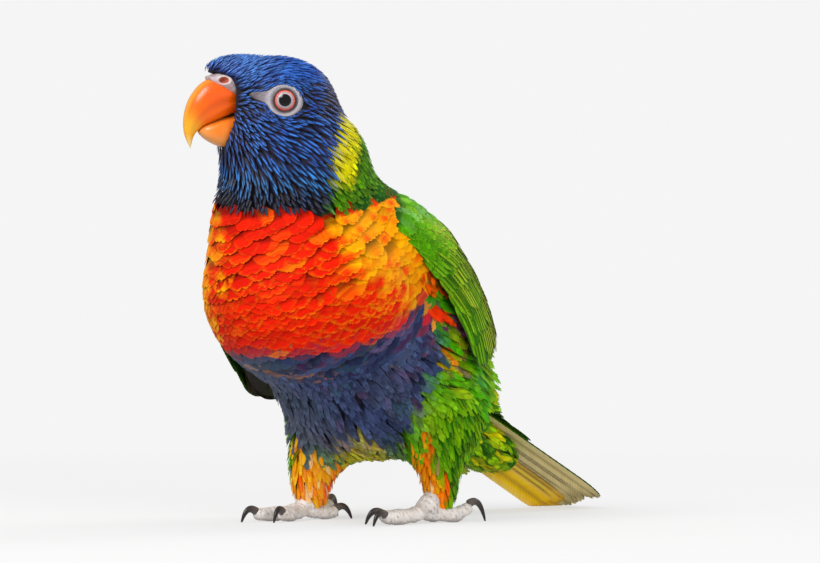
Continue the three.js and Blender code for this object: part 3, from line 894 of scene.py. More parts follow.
BLACK = paint(6, 5, 6)
IRIS = [
    (0, BLACK), (1.66, BLACK),
    (1.76, paint(120, 104, 108)), (1.88, paint(184, 174, 178)), (2.26, paint(188, 178, 182)),
    (2.38, paint(150, 100, 102)), (2.5, paint(236, 132, 122)), (2.84, paint(230, 96, 86)),
    (2.98, paint(110, 44, 44)), (3.2, paint(30, 22, 24)), (4.2, paint(30, 22, 24)),
]
for side in SIGNS:
    obj, along, around = ball(120, 64)
    axis = eye_axis(side)
    across = unit(np.cross(UP, axis))
    upward = np.cross(axis, across)
    angle = np.pi * along
    turn = 2 * np.pi * around
    out = np.sin(angle)[:, None] * (np.cos(turn)[:, None] * across + np.sin(turn)[:, None] * upward)
    bulge = 1 + 0.045 * smooth(angle, 0.75, 0.2)
    points = EYES[side] + EYE["radius"] * (np.cos(angle)[:, None] * axis + out) * bulge[:, None]
    move(obj, points)
    tidy_faces(obj)
    radius = np.where(angle < np.pi / 2, EYE["radius"] * np.sin(angle), EYE["radius"])
    shade = rings(radius, IRIS)
    streaks = 1 + 0.12 * np.sin(turn * 38 + 3 * np.sin(turn * 7)) * (radius > 1.95) * (radius < 3.05)
    set_colours(obj.data, shade * streaks[:, None])
    piece(obj, f"{side}_eyeball", EYEBALL, "eye", (f"{side}_eye",))

# %% [markdown]
# Round the eye the skin is bare. A dark, beaded lid margin hugs the ball, and outside it a pale grey ring of
# fine folds runs out to the feathers, with a narrow grey streak forward over the lores. It is a ring bent to
# the head, its inner edge rolled in against the ball.

# %% Lids and bare skin round the eyes
LID_RINGS = [
    (2.92, paint(96, 44, 44)), (3.05, paint(66, 44, 44)), (3.45, paint(62, 50, 50)),
    (3.75, paint(122, 116, 118)), (4.05, paint(172, 168, 174)), (4.8, paint(170, 164, 172)),
    (6, paint(132, 124, 130)), (9.5, paint(84, 74, 80)),
]
LID_INNER, LID_MIDDLE, BALL_UNDER_LID = 2.92, 4.0, 4.25

for side in SIGNS:
    bpy.ops.mesh.primitive_grid_add(x_subdivisions=160, y_subdivisions=26, size=2)
    obj = bpy.context.object
    flat = vertices(obj)
    turn, out = (flat[:, 0] + 1) * np.pi, (flat[:, 1] + 1) / 2
    axis = eye_axis(side)
    ahead = unit(FORWARD - (FORWARD @ axis) * axis)
    raised = unit(UP - (UP @ axis) * axis)
    reach = bare_edge(np.arctan2(np.sin(turn), np.cos(turn))) + 0.5
    inner, outer = LID_INNER + 1.08 * out * 2, LID_MIDDLE + (reach - LID_MIDDLE) * (out - 0.5) * 2
    radius = np.where(out < 0.5, inner, outer)
    across = np.cos(turn)[:, None] * ahead + np.sin(turn)[:, None] * raised
    base = EYES[side] + radius[:, None] * across
    on_ball = base + np.sqrt(np.maximum(BALL_UNDER_LID ** 2 - radius ** 2, 0))[:, None] * axis
    on_head = base + axis * 3
    for _ in range(5):
        value, gradient = slope(on_head, WHOLE)
        on_head = on_head - ((value + 0.1) / np.maximum(gradient @ axis, 0.3))[:, None] * axis
    share = smooth(radius, 2.9, 4.4)[:, None]
    points = on_ball * (1 - share) + on_head * share
    roll = 0.34 * bell(radius - 3.35, 0.42) + 0.16 * bell(radius - 4.5, 0.45)
    folds = 0.05 * np.sin(turn * 46 + 2 * np.sin(turn * 5)) * smooth(radius, 3.2, 3.6)
    folds = folds * smooth(radius, reach, reach - 1)
    folds = folds + 0.06 * np.sin((radius - 4) * 9 + 0.8 * np.sin(turn * 3)) * smooth(radius, 4.1, 4.5)
    tuck = -0.55 * smooth(radius, reach - 0.7, reach) - 0.25 * smooth(radius, 3.04, 2.9)
    points = points + (roll + folds + tuck)[:, None] * axis
    move(obj, points)
    bpy.ops.object.mode_set(mode="EDIT")
    bpy.ops.mesh.select_all(action="SELECT")
    bpy.ops.mesh.remove_doubles(threshold=1e-6)
    bpy.ops.object.mode_set(mode="OBJECT")
    points = where(obj)
    radius, angle, _ = round_eye(points, side)
    normal = unit(points - HEAD_CENTRE)
    bpy.ops.object.shade_smooth()
    lid = rings(radius, LID_RINGS) * (1 + 0.06 * waves(points, 0.9, 8))[:, None]
    set_colours(obj.data, lid)
    spread = np.stack([radius * np.cos(angle), radius * np.sin(angle)], -1)
    set_map(obj.data, "OFBake", 0.5 + spread / 24)
    piece(obj, f"{side}_lids", BARE, "cere")

# %% [markdown]
# Bill and cere are horn and bare skin. Each follows an upper and a lower edge line in the head's middle
# plane, with a half width at every station, the same lines that give the solids their shape, but much finer.
# The upper bill hooks down over the shorter, cup-shaped lower one, and the cere carries the two nostrils.

# %% Smooth lines through stations
def stations(values, share):
    """A smooth value between evenly spaced stations."""
    line = curve([[value, 0, 0] for value in values], 201)[:, 0]
    return np.interp(share, np.linspace(0, 1, 201), line)


def along_line(values, share):
    """A smooth edge line in the head's middle plane, through pairs of forward and up."""
    line = curve([[ahead, 0, up] for ahead, up in values], 401)
    grid = np.linspace(0, 1, 401)
    return np.stack([np.interp(share, grid, line[:, 0]), np.interp(share, grid, line[:, 2])], -1)


# %% Edge lines of the bill
# each horn: its upper edge line, its lower edge line, its half widths, and how full its section is
UPPER_BILL = ([[9.5, 6.2], [15.5, 7.6], [21, 6.9], [25, 2.8], [27.1, -2.6], [27.2, -8.2], [25.3, -13.2]],
              [[9.5, -1.8], [12.3, -2.8], [15.6, -4.2], [19, -5.3], [22, -6.4], [24.3, -9], [25.3, -13.2]],
              [4.6, 5.3, 5.4, 4.9, 3.6, 1.8, 0.25], 0.8)
LOWER_BILL = ([[9.5, -2.2], [14, -3.4], [18, -4.6], [21.4, -6.1], [23.2, -7.7]],
              [[9.5, -9.4], [13, -11.8], [16.6, -12.2], [20.6, -10.4], [23.2, -8.2]],
              [3.8, 4.6, 4.5, 3.3, 1.2], 0.75)
CERE = ([[10.5, 8.8], [13.6, 9.4], [17.4, 9.2], [21.4, 8]],
        [[10.7, 0.6], [12.4, 1.4], [14.6, 3], [19.4, 5.8]],
        [6.0, 6.7, 6.2, 2.9], 0.7)
NOSTRIL = {"forward": 16.6, "up": 6.8}


def horn(upper, lower, half_width, fullness, ring_count, sides):
    """A ball swept between two edge lines: its shares, and its points as a plane place and a side."""
    obj, along, around = ball(ring_count, sides)
    top, bottom = along_line(upper, along), along_line(lower, along)
    middle, half = (top + bottom) / 2, (top - bottom) / 2
    close = np.sqrt(np.clip(np.minimum(along, 1 - along) / 0.06, 0, 1))
    angle = 2 * np.pi * around
    plane = middle + half * (close * np.cos(angle))[:, None]
    wave = np.sin(angle)
    side = stations(half_width, along) * close * np.sign(wave) * np.abs(wave) ** fullness
    return obj, along, angle, plane, side


def place_horn(obj, plane, side):
    move(obj, in_head(plane[:, 0], side, plane[:, 1]))
    tidy_faces(obj)


# %% Upper bill
obj, along, angle, plane, side = horn(*UPPER_BILL, 150, 96)
low_side = smooth(np.cos(angle), -0.35, -0.95)
plane[:, 1] += 0.35 * low_side * np.sin(np.clip(along, 0, 1) * np.pi * 2.2) * smooth(along, 0, 0.2)
side = side * (1 - 0.10 * bell(np.cos(angle) + 0.35, 0.25) * smooth(along, 0.9, 0.4))
place_horn(obj, plane, side)
points = where(obj)
# yellower along the top ridge: partly the horn's own colour, partly painted highlight
ridge = smooth(np.cos(angle), 0.72, 0.99)
orange = blend(paint(250, 88, 0), paint(255, 110, 2), 0.5 + 0.3 * waves(points, 11, 11))
bill = blend(orange, paint(255, 178, 36), ridge * (0.35 + 0.4 * smooth(along, 0.2, 0.6)))
bill = blend(bill, paint(255, 182, 34), smooth(along, 0.54, 0.8))
bill = blend(bill, paint(248, 222, 150), smooth(along, 0.84, 0.97))
# painted shade: darker along the underside of the upper bill, where it overhangs the lower one
bill = blend(bill, paint(206, 120, 34), smooth(np.cos(angle), -0.8, -0.97) * smooth(along, 0.9, 0.6) * 0.8)
bill = bill * (1 + 0.015 * np.sin(along * 160 + 2 * np.sin(angle)) * smooth(along, 0.2, 0.5))[:, None]
set_colours(obj.data, bill)
piece(obj, "upper_bill_horn", HORN, "bill", ("upper_bill",))

# %% Lower bill
obj, along, angle, plane, side = horn(*LOWER_BILL, 110, 80)
place_horn(obj, plane, side)
points = where(obj)
# painted shade: darker along the top edge of the lower bill, under the upper one
shade_under_upper_bill = smooth(np.cos(angle), 0.72, 0.95)
bill = blend(paint(246, 128, 30), paint(250, 160, 74), smooth(-np.cos(angle), -0.2, 0.9))
bill = blend(bill, paint(252, 178, 96), smooth(along, 0.5, 0.95) * 0.6)
bill = blend(bill, paint(150, 80, 30), shade_under_upper_bill * 0.75)
set_colours(obj.data, bill)
piece(obj, "lower_bill_horn", HORN, "bill", ("lower_bill",))

# %% Cere
obj, along, angle, plane, side = horn(*CERE, 130, 130)
near = np.hypot((plane[:, 0] - NOSTRIL["forward"]) / 1.35, (plane[:, 1] - NOSTRIL["up"]) / 0.95)
rim = bell(near - 1.35, 0.4)
side = side + np.sign(side) * (0.42 * rim - 1.0 * smooth(near, 1.05, 0.55))
side = side + np.sign(side) * 0.08 * waves(np.stack([plane[:, 0], side, plane[:, 1]], -1), 2.4, 12)
place_horn(obj, plane, side)
points = where(obj)
skin_tone = blend(paint(196, 178, 182), paint(170, 148, 152), 0.5 + 0.5 * waves(points, 2.5, 13))
skin_tone = blend(skin_tone, paint(222, 214, 216), rim * 0.7)
skin_tone = blend(skin_tone, paint(190, 92, 66), smooth(near, 1.15, 0.85))
# painted shade: dark in the hollow of the nostril
skin_tone = blend(skin_tone, paint(96, 40, 30), smooth(near, 0.7, 0.35) * 0.7)
skin_tone = blend(skin_tone, paint(120, 98, 100), smooth(np.cos(angle), -0.55, -0.95) * 0.6)
set_colours(obj.data, skin_tone)
piece(obj, "cere_skin", BARE, "cere", ("cere",))

# %% [markdown]
# The feathers of head, neck and body grow from points spread evenly over the skin, closer together where they
# are small. Points are picked at random from the skin's faces, and those too near another one are dropped.

# %% Roots on the skin
mesh = skin.data
mesh.calc_loop_triangles()
corners = np.zeros(len(mesh.loop_triangles) * 3, int)
mesh.loop_triangles.foreach_get("vertices", corners)
corner_points = where(skin)[corners.reshape(-1, 3)]
first_side = corner_points[:, 1] - corner_points[:, 0]
second_side = corner_points[:, 2] - corner_points[:, 0]
areas = norm(np.cross(first_side, second_side), axis=-1) / 2
CANDIDATES = 9.0


def pick(inside, spacing, seed):
    """Candidate points where inside(points) holds, thinned to the spacing(points)."""
    rng = np.random.default_rng(seed)
    centres = corner_points.mean(1)
    allowed = inside(centres)
    if not allowed.any():
        return np.zeros((0, 3))
    chosen = np.flatnonzero(allowed)
    weights = areas[chosen] / spacing(centres[chosen]) ** 2
    count = int(CANDIDATES * weights.sum())
    face = rng.choice(chosen, count, p=weights / weights.sum())
    u, v = rng.random(count), rng.random(count)
    over = u + v > 1
    u[over], v[over] = 1 - u[over], 1 - v[over]
    found = corner_points[face, 0] + u[:, None] * first_side[face] + v[:, None] * second_side[face]
    found = found[inside(found)]
    return found[scatter(found, spacing(found), seed)]


def bare(points):
    """True where no feathers grow: round the eyes, at the bill and on the cere."""
    off = np.zeros(len(points), bool)
    for side, sign in SIGNS.items():
        radius, angle, _ = round_eye(points, side)
        off |= ((points - HEAD_CENTRE) @ SIDE * sign > 0) & (radius < bare_edge(angle) - 0.35)
    return off | (beyond(points, *MOUTH) < 0.95) | (beyond(points, *CERE_BED) < 0.5)


HOOD, NECK, BREAST, BELLY, BACK, THIGH = range(6)


def zones(points):
    """Which kind of plumage covers each point."""
    _, _, hooded, _ = markings(points)
    x, y, z = points[:, 0], points[:, 1], points[:, 2]
    chest = (z > breast_end(y)) & (z < throat_end(x, y) + 4.5) & (y < wing_front(z))
    leg = np.minimum(outside(points, LEGS["left"]), outside(points, LEGS["right"]))
    trunk = outside(points, TRUNK)
    zone = np.where(y > wing_front(z) + 1, BACK, BELLY)
    zone = np.where((z < 44) & (y < 40) | (z < 31), BELLY, zone)
    zone = np.where(z > throat_end(x, y) + 1, NECK, zone)
    zone = np.where(chest, BREAST, zone)
    zone = np.where((hooded > 0.5) & (z > throat_end(x, y) + 3), HOOD, zone)
    on_leg = (leg < trunk - 0.5 + 1.2 * waves(points, 5, 14)) & (z < 42 + 2 * waves(points, 6, 15))
    return np.where(on_leg, THIGH, zone)


print("skin area in square millimetres:", round(float(areas.sum())))

# %% [markdown]
# Hood: narrow, stiff, pointed feathers, each a bright blue streak on a dark ground. They are tiny by the bill
# and the eye and longer on the throat. The face gets a finer set, so the smallest feathers sit there.

# %% Hood feathers
def face_share(points):
    """1 on the face, round the eyes and by the bill, and 0 on the rest of the hood."""
    ahead, to_side, height = head_parts(points)
    eye_near = np.minimum(*(round_eye(points, side)[0] + 40 * (to_side * sign < 0)
                            for side, sign in SIGNS.items()))
    return np.maximum(smooth(eye_near, 9.5, 6.0), smooth(ahead, 5, 11) * smooth(height, -14, -8))


def keep_clear(line, straight=0.82):
    """True for feathers that stay off bare skin and don't bend back on themselves."""
    clear = np.ones(len(line), bool)
    for knot in range(1, line.shape[1]):
        clear &= ~bare(line[:, knot])
    path = norm(np.diff(line, axis=1), axis=-1).sum(1)
    return clear & (norm(line[:, -1] - line[:, 0], axis=-1) > straight * path)


def hood_feathers(seed, low_share, high_share, spacing, name, pattern):
    def inside(p):
        share = face_share(p)
        return (zones(p) == HOOD) & ~bare(p) & (share >= low_share) & (share < high_share)

    roots = pick(inside, lambda p: spacing * (1 - 0.27 * smooth((p - HEAD_CENTRE) @ UP, 3, 9)), seed)
    rng = np.random.default_rng(seed)
    face = face_share(roots)
    size = rng.uniform(0.85, 1.15, len(roots))
    crown = smooth(head_parts(roots)[2], 5, 11)
    low = roots[:, 2] - throat_end(roots[:, 0], roots[:, 1])
    length = (6.2 - 3.1 * face * (1 - 0.35 * crown) - 1.1 * crown - 3.0 * smooth(low, 16, 5)) * size
    width = (1.65 - 0.7 * face - 0.5 * crown * (1 - 0.8 * face) - 0.4 * smooth(low, 16, 5)) * size
    depth = depth_of(roots) * (1 - 0.8 * smooth(low, 9, 3))
    line, normals = trace(roots, length, depth, knots=5, tip=0.12, sway=0.10, seed=seed)
    along = np.linspace(0, 1, 5)[None, :, None]
    lift = (rng.uniform(0, 0.16, len(roots)) * (1 - 0.6 * crown))[:, None, None] * along
    hem = 0.3 * smooth(low, 9, 3)[:, None, None] * smooth(along, 0.2, 0.9)
    line = line + normals * (lift + hem)
    clear = keep_clear(line, 0.93)
    line, normals, roots = line[clear], normals[clear], roots[clear]
    width, crown, face = width[clear], crown[clear], face[clear]
    stamped = PATTERNS[pattern]
    points = lay(line, normals, width, stamped, cup=0.3, ridge=0.16)
    dark, streak, _, _ = markings(line[:, 2])
    shade = 1 - 0.3 * smooth(waves(line[:, 2], 9, 16), 0, 1.2)
    tone = (rng.uniform(0.5, 1.3, len(line)) * shade)[:, None]
    vane, across = stamped["along"][None], stamped["across"][None]
    narrow = 0.26 + 0.26 * crown[:, None] + 0.12 * face[:, None]
    glow = (bell(across, narrow) * smooth(vane, 0.3, 0.6) * smooth(vane, 1.04, 0.9))[..., None]
    colours = dark[:, None] * (1 - glow) + (streak * tone)[:, None] * glow
    return coat(name, [feathers(points, stamped, colours, unwrap(roots))], HOOD_COAT, "plumage_blue")


hood_feathers(21, 0.5, 2.0, 0.85, "face_feathers", "fine")
hood_feathers(22, -1.0, 0.5, 1.38, "hood_feathers", "hood")
clock()

# %% [markdown]
# The coat of the body is made zone by zone. Breast feathers stand in rows round the bill, so their edges make
# neat scallops. The belly is softer and looser, the back is smooth, and the neck is short and hair-like. Each
# feather shows the marking of the place where its tip lies, with its own slight tone.

# %% Rows and barbs
def snap(points, row):
    """Moves points onto rows round the bill, and numbers the rows."""
    for _ in range(3):
        away = points - BILL_ROOT
        distance = norm(away, axis=-1)
        rank = np.round(distance / row)
        points = points + unit(away) * ((rank * row - distance) * 1.1)[:, None]
        points = settle(points, -depth_of(points), WHOLE, 1)
    return points, rank


def barb_of(pattern):
    """The number of each point's barb, and how many numbers there are."""
    return np.floor(pattern["barb"]).astype(int), int(pattern["barb"].max()) + 2


def fibre(pattern, count, rng, low, high):
    """A value between low and high for every barb of every feather."""
    barb, barbs = barb_of(pattern)
    return rng.uniform(low, high, (count, barbs))[:, barb]


def barb_tone(pattern, count, rng, spread):
    """A tone for every barb of every feather, so that vanes look combed rather than painted."""
    barb, barbs = barb_of(pattern)
    return rng.normal(1, spread, (count, barbs))[:, barb][..., None]


# %% Scalloped feathers
def scallop(line, pattern, rng, points, fringe=1.0, row=0.0):
    """Vanes with a thin paler fringe, and a dark base that shows between rows, partly painted shade."""
    tips = line[:, -1] * 0.5 + line[:, -2] * 0.5
    n = len(line)
    middle, edge, _, _ = markings(tips)
    sides = markings(points.reshape(-1, 3))[3].reshape(points.shape[:2])
    amber = sides + rng.normal(0, 0.12, (n, 1)) + fibre(pattern, n, rng, -0.07, 0.07)
    amber = smooth(amber, 0.1, 0.62)[..., None]
    middle = middle[:, None] * (1 - amber) + AMBER * amber
    edge = edge[:, None] * (1 - amber) + paint(255, 190, 24) * amber
    tone = rng.normal(1, 0.06, (n, 1, 1))
    out, along = pattern["out"][None], pattern["along"][None]
    loose = fibre(pattern, n, rng, 0.35, 1.15)
    rim = np.maximum(smooth(out, 0.8, 0.97) * smooth(along, 0.62, 0.85), smooth(along, 0.94, 0.99))
    rim = np.clip(rim * fringe * loose * (0.55 + 0.45 * waves(tips, 13, 46))[:, None], 0, 0.9)[..., None]
    fleck = bell(pattern["across"], 0.4)[None] * smooth(along, 0.5, 0.8) * smooth(along, 1.02, 0.92)
    fleck = (fleck * rng.uniform(-0.3, 1.0, n).clip(0)[:, None])[..., None] * amber
    colours = middle * tone * (1 - rim) + edge * rim
    colours = colours * (1 - fleck) + blend(ORANGE, RED, 0.3) * fleck
    colours = colours * barb_tone(pattern, n, rng, 0.10)
    # painted shade: below where the row above ends, each feather darkens to a fifth of its own colour, partly
    # its real dark base
    gap = 1 - row / norm(line[:, -1:] - line[:, :1], axis=-1) if row else 0.5
    root = (smooth(along, gap + 0.08, gap - 0.2) * 0.8)[..., None]
    return colours * (1 - root) + middle * 0.2 * root


# %% One zone of feathers
def body_feathers(name, zone, spacing, length, width, pattern, slot, seed, row=0.0, cup=0.1, sway=0.08,
                  rough=0.25, legs=False, colouring=scallop, keep=None, scale=None, lifted=0.0):
    """Covers one zone of the skin with one piece of feathers."""
    def inside(p):
        good = ~bare(p) & (True if zone is None else zones(p) == zone)
        return good if keep is None else good & keep(p)

    roots = pick(inside, lambda p: np.full(len(p), spacing if not row else row * 0.75), seed)
    if row:
        roots, rank = snap(roots, row)
        spread = roots + unit(roots - BILL_ROOT) * (rank * (spacing * 1.25 - row))[:, None]
        roots = roots[scatter(spread, spacing * scale(roots), seed)]
    rng = np.random.default_rng(seed)
    size = rng.uniform(0.88, 1.12, len(roots)) * (1 if scale is None else scale(roots))
    depth = depth_of(roots) * np.clip(size, 0.3, 1) ** 2
    line, normals = trace(roots, length * size, depth, tip=0.05, sway=sway, seed=seed, legs=legs)
    rise = (np.linspace(0, 1, line.shape[1]) ** 1.5)[None, :, None]
    line = line + normals * (lifted + rng.uniform(0, rough, len(roots)))[:, None, None] * rise
    clear = keep_clear(line)
    line, normals, roots, size = line[clear], normals[clear], roots[clear], size[clear]
    stamped = PATTERNS[pattern]
    points = lay(line, normals, width * size, stamped, cup=cup)
    colours = colouring(line, stamped, rng, points)
    return coat(name, [feathers(points, stamped, colours, unwrap(roots))], BODY_COAT, slot)


# %% Neck, breast, belly and back
def soft(line, pattern, rng, _):
    """Loose feathers: mottled along their barbs, paler at the edge, without a sharp rim."""
    middle, edge, _, _ = markings(line[:, -2])
    tone = rng.normal(1, 0.16, (len(line), 1))
    streak = 0.5 + 0.5 * np.sin(pattern["barb"][None] * 2.4 + rng.uniform(0, 7, (len(line), 1)))
    rim = 0.25 + 0.6 * streak * pattern["out"][None] + 0.2 * smooth(pattern["along"], 0.7, 1)[None]
    rim = np.clip(rim, 0, 1)[..., None]
    # dark base: partly the real dark down, partly painted shade where other feathers cover it
    root = (smooth(pattern["along"], 0.5, 0.2) * 0.7)[None, :, None]
    colours = (middle * tone)[:, None] * (1 - rim) + (edge * tone)[:, None] * rim
    colours = colours * barb_tone(pattern, len(line), rng, 0.24)
    return colours * (1 - root) + SOOT * root


def smaller_by_throat(points):
    below = throat_end(points[:, 0], points[:, 1]) - points[:, 2]
    return 0.48 + 0.52 * smooth(below, -4.5, 11)


body_feathers("back_feathers", BACK, 2.9, 10.5, 7.0, "back", "plumage_green", 34,
              colouring=partial(scallop, fringe=0.55))
body_feathers("belly_feathers", BELLY, 1.75, 10.5, 2.25, "belly", "plumage_neck", 33, sway=0.22, rough=0.7,
              colouring=soft)
body_feathers("breast_feathers", BREAST, 6.2, 13.0, 13.0, "breast", "plumage_red", 32, row=2.7, cup=0.07,
              sway=0.05, rough=0.16, colouring=partial(scallop, row=2.9), scale=smaller_by_throat)
body_feathers("neck_feathers", NECK, 1.2, 6.0, 1.9, "neck", "plumage_neck", 31, cup=0.16, sway=0.1,
              rough=0.3, colouring=soft)

# %% [markdown]
# Where breast, belly and wing meet, the flank feathers stick out in loose pointed tufts of orange, red, green
# and dark purple. They are laid over the others and lift a little at their tips.

# %% Flank tufts
def on_flank(points):
    x, y, z = points[:, 0], points[:, 1], points[:, 2]
    front = wing_front(z)
    return (np.abs(x) > 17) & (y > front - 6) & (y < front + 15) & (z > 38) & (z < 84)


TUFT_BANDS = [
    (-np.inf, GREEN), (39, blend(GREEN, TEAL, 0.3)), (42, GREEN), (51, paint(116, 142, 16)),
    (56, paint(120, 56, 96)), (59, paint(240, 50, 6)), (64, GREEN), (67, ORANGE), (72, GREEN), (76, AMBER),
]


def tuft_paint(line, pattern, rng, _):
    """Colours a tuft by the band of height in which its tip lies."""
    tips = line[:, -1]
    middle = markings(tips)[0]
    height = tips[:, 2] + 1.8 * waves(tips, 13, 45) + rng.normal(0, 0.5, len(line))
    bands = np.array([colour for _, colour in TUFT_BANDS])
    chosen = bands[np.digitize(height, [start for start, _ in TUFT_BANDS[1:]])]
    along, across = pattern["along"][None, :, None], pattern["across"][None, :, None]
    tipped = smooth(along, 0.2, 0.6) * rng.uniform(0.75, 1, (len(line), 1, 1))
    colours = (middle * 0.5)[:, None] * (1 - tipped) + chosen[:, None] * tipped
    colours = colours * (1 - 0.35 * smooth(np.abs(across), 0.6, 1))
    return colours * barb_tone(pattern, len(line), rng, 0.3) * (0.75 + 0.35 * smooth(along, 0.3, 0.8))


def on_hip(points):
    x, y, z = points[:, 0], points[:, 1], points[:, 2]
    return (x > 4) & (y > 20) & (z > 38) & (z < 60)


for side, sign in SIGNS.items():
    body_feathers(f"{side}_flank_tufts", None, 1.75, 12.0, 3.1, "belly", "plumage_red", 38 + sign, sway=0.16,
                  rough=2.0, colouring=tuft_paint,
                  keep=lambda points: on_flank(points) & (points[:, 0] * sign > 0))
body_feathers("hip_feathers", None, 2.0, 15.0, 2.7, "belly", "plumage_green", 44, sway=0.12, rough=1.6,
              colouring=soft, keep=on_hip, lifted=3.4)
clock()

# %% [markdown]
# The thighs wear short, loose feathers that hang straight down and end above the toes. The left one is green
# with yellow streaks and orange at the front, the right one orange with pale shafts and a green outer side.

# %% Thighs
def thigh_paint(side):
    """The colouring of one thigh."""
    def chosen(line, pattern, rng, _):
        tips = line[:, -2]
        z = tips[:, 2]
        out = tips @ OUTWARD
        noise = waves(tips, 5, 41)
        green = blend(blend(GREEN, YELLOW_GREEN, 0.15 + 0.4 * noise), GREEN_DARK, smooth(noise, 0.2, -0.9))
        warm = blend(ORANGE, AMBER, 0.75 + 0.5 * noise)
        warm = blend(warm, RED, smooth(waves(tips, 4, 42), 0.5, 1.1) * 0.35)
        warm = blend(warm, paint(255, 214, 170), smooth(waves(tips, 3.5, 43), 0.7, 1.2) * 0.5)
        if side == "left":
            edge = np.interp(z, [7, 13, 16, 30], [26.5, 25.5, 22, 20.5])
            orange = smooth(out + 1.2 * noise, edge + 1, edge - 1) * smooth(z, 30, 24)
            middle = blend(green, warm, orange)
            middle = blend(middle, markings(tips)[0], smooth(z + 3 * noise, 34, 38))
            shaft = blend(paint(226, 206, 40), paint(255, 196, 60), orange)
        else:
            outer = smooth(out + 1.0 * noise, -18.4, -20.4) * smooth(z, 9, 14)
            middle = blend(warm, green, outer)
            middle = blend(middle, markings(tips)[0], smooth(z, 31, 36))
            shaft = blend(paint(255, 214, 150), paint(226, 206, 40), outer)
        # painted light: the right thigh's colours are raised by about a fifth against the shade under the
        # belly
        tone = rng.normal(1 if side == "left" else 1.22, 0.13, (len(line), 1))
        ray = (bell(pattern["across"], 0.28) * smooth(pattern["along"], 0.3, 0.7) * 0.14)[None, :, None]
        # dark base: partly the real dark down, partly painted shade where other feathers cover it
        root = (smooth(pattern["along"], 0.4, 0.1) * 0.12)[None, :, None]
        colours = (middle * tone)[:, None] * (1 - ray) + shaft[:, None] * ray
        return colours * (1 - root) + SOOT * root

    return chosen


for side, sign in SIGNS.items():
    body_feathers(f"{side}_thigh_feathers", THIGH, 1.15, 7.8, 1.6, "thigh", "plumage_neck", 35 + sign,
                  cup=0.2, sway=0.14, rough=0.6, legs=True, colouring=thigh_paint(side),
                  keep=lambda points: points[:, 0] * sign > 0)
clock()

# %% [markdown]
# A folded wing lies on the side of the trunk and on the base of the tail. It is laid out like the solid: a
# line inside the bird, and from it a fan of rays that pierce the plumage, so that a share along the wing and
# a share across it give a point. The tail's own frame is needed here too, since the wings rest on it.

# %% The tail's frame and the wing's line
TAIL_BASE, TAIL_TURN, TAIL_PITCH, TAIL_ROLL = np.array([0.4, 34, 35]), -8, -26.5, -24
TAIL_LENGTH, TAIL_ARCH = 82.0, 3.5


def rotation(axis, degrees):
    cosine, sine = math.cos(math.radians(degrees)), math.sin(math.radians(degrees))
    first, second = [(1, 2), (2, 0), (0, 1)][axis]
    made = np.eye(3)
    made[first, first], made[first, second] = cosine, -sine
    made[second, first], made[second, second] = sine, cosine
    return made


TAIL_AXES = rotation(2, TAIL_TURN) @ rotation(0, TAIL_PITCH) @ rotation(1, TAIL_ROLL)


def in_tail(points):
    return TAIL_BASE + points @ TAIL_AXES.T


TAIL_BED = (in_tail(np.array([0, 40.0, 0])), np.array([15, 48, 6.0]), TAIL_AXES)
BED = WING_BED + [TAIL_BED]
dense = curve([[0, -20, 88], [0, -4, 76], [0, 16, 60], [1, 36, 46], [3, 56, 31], [5, 76, 19]], 801)
length_along = np.concatenate([[0], np.cumsum(norm(np.diff(dense, axis=0), axis=1))])
WING_LENGTH = length_along[-1]
even = np.linspace(0, 1, 401)
WING_PATH = np.stack([np.interp(even, length_along / WING_LENGTH, dense[:, axis]) for axis in range(3)], -1)
WING_AHEAD = unit(np.gradient(WING_PATH, axis=0))
print("wing length in millimetres:", round(float(WING_LENGTH), 1))

# %% Blades of the wings
# top and low: angles from the back down to the blade's two edges; thick: how far it stands off the body
WINGS = {
    "left": dict(sign=1, top=[60, 36, 22, 16, 16, 24], low=[86, 91, 93, 108, 130, 130], start=0, end=0.72,
                 thick=[1, 1.2, 3.1, 6.8, 8.4, 7.6, 6.7, 7.0, 7.4, 6.4, 4.8], away=0),
    "right": dict(sign=-1, top=[60, 36, 22, 18, 18, 26], low=[114, 136, 138, 122, 98, 70], start=0, end=0.72,
                  thick=[2, 5, 6, 6, 5, 2], away=6),
}
PRIMARIES = {
    "left": dict(sign=1, top=[40, 30, 20, 10, 4, 8], low=[86, 93, 88, 66, 40, 20], start=0.4, end=1,
                 thick=[2, 4.2, 5.8, 4.6, 3, 1.4], away=0),
    "right": dict(sign=-1, top=[42, 32, 22, 14, 8, 8], low=[100, 98, 88, 72, 50, 26], start=0.4, end=1,
                  thick=[2, 2.6, 2.6, 2.4, 2, 1.4], away=0),
}


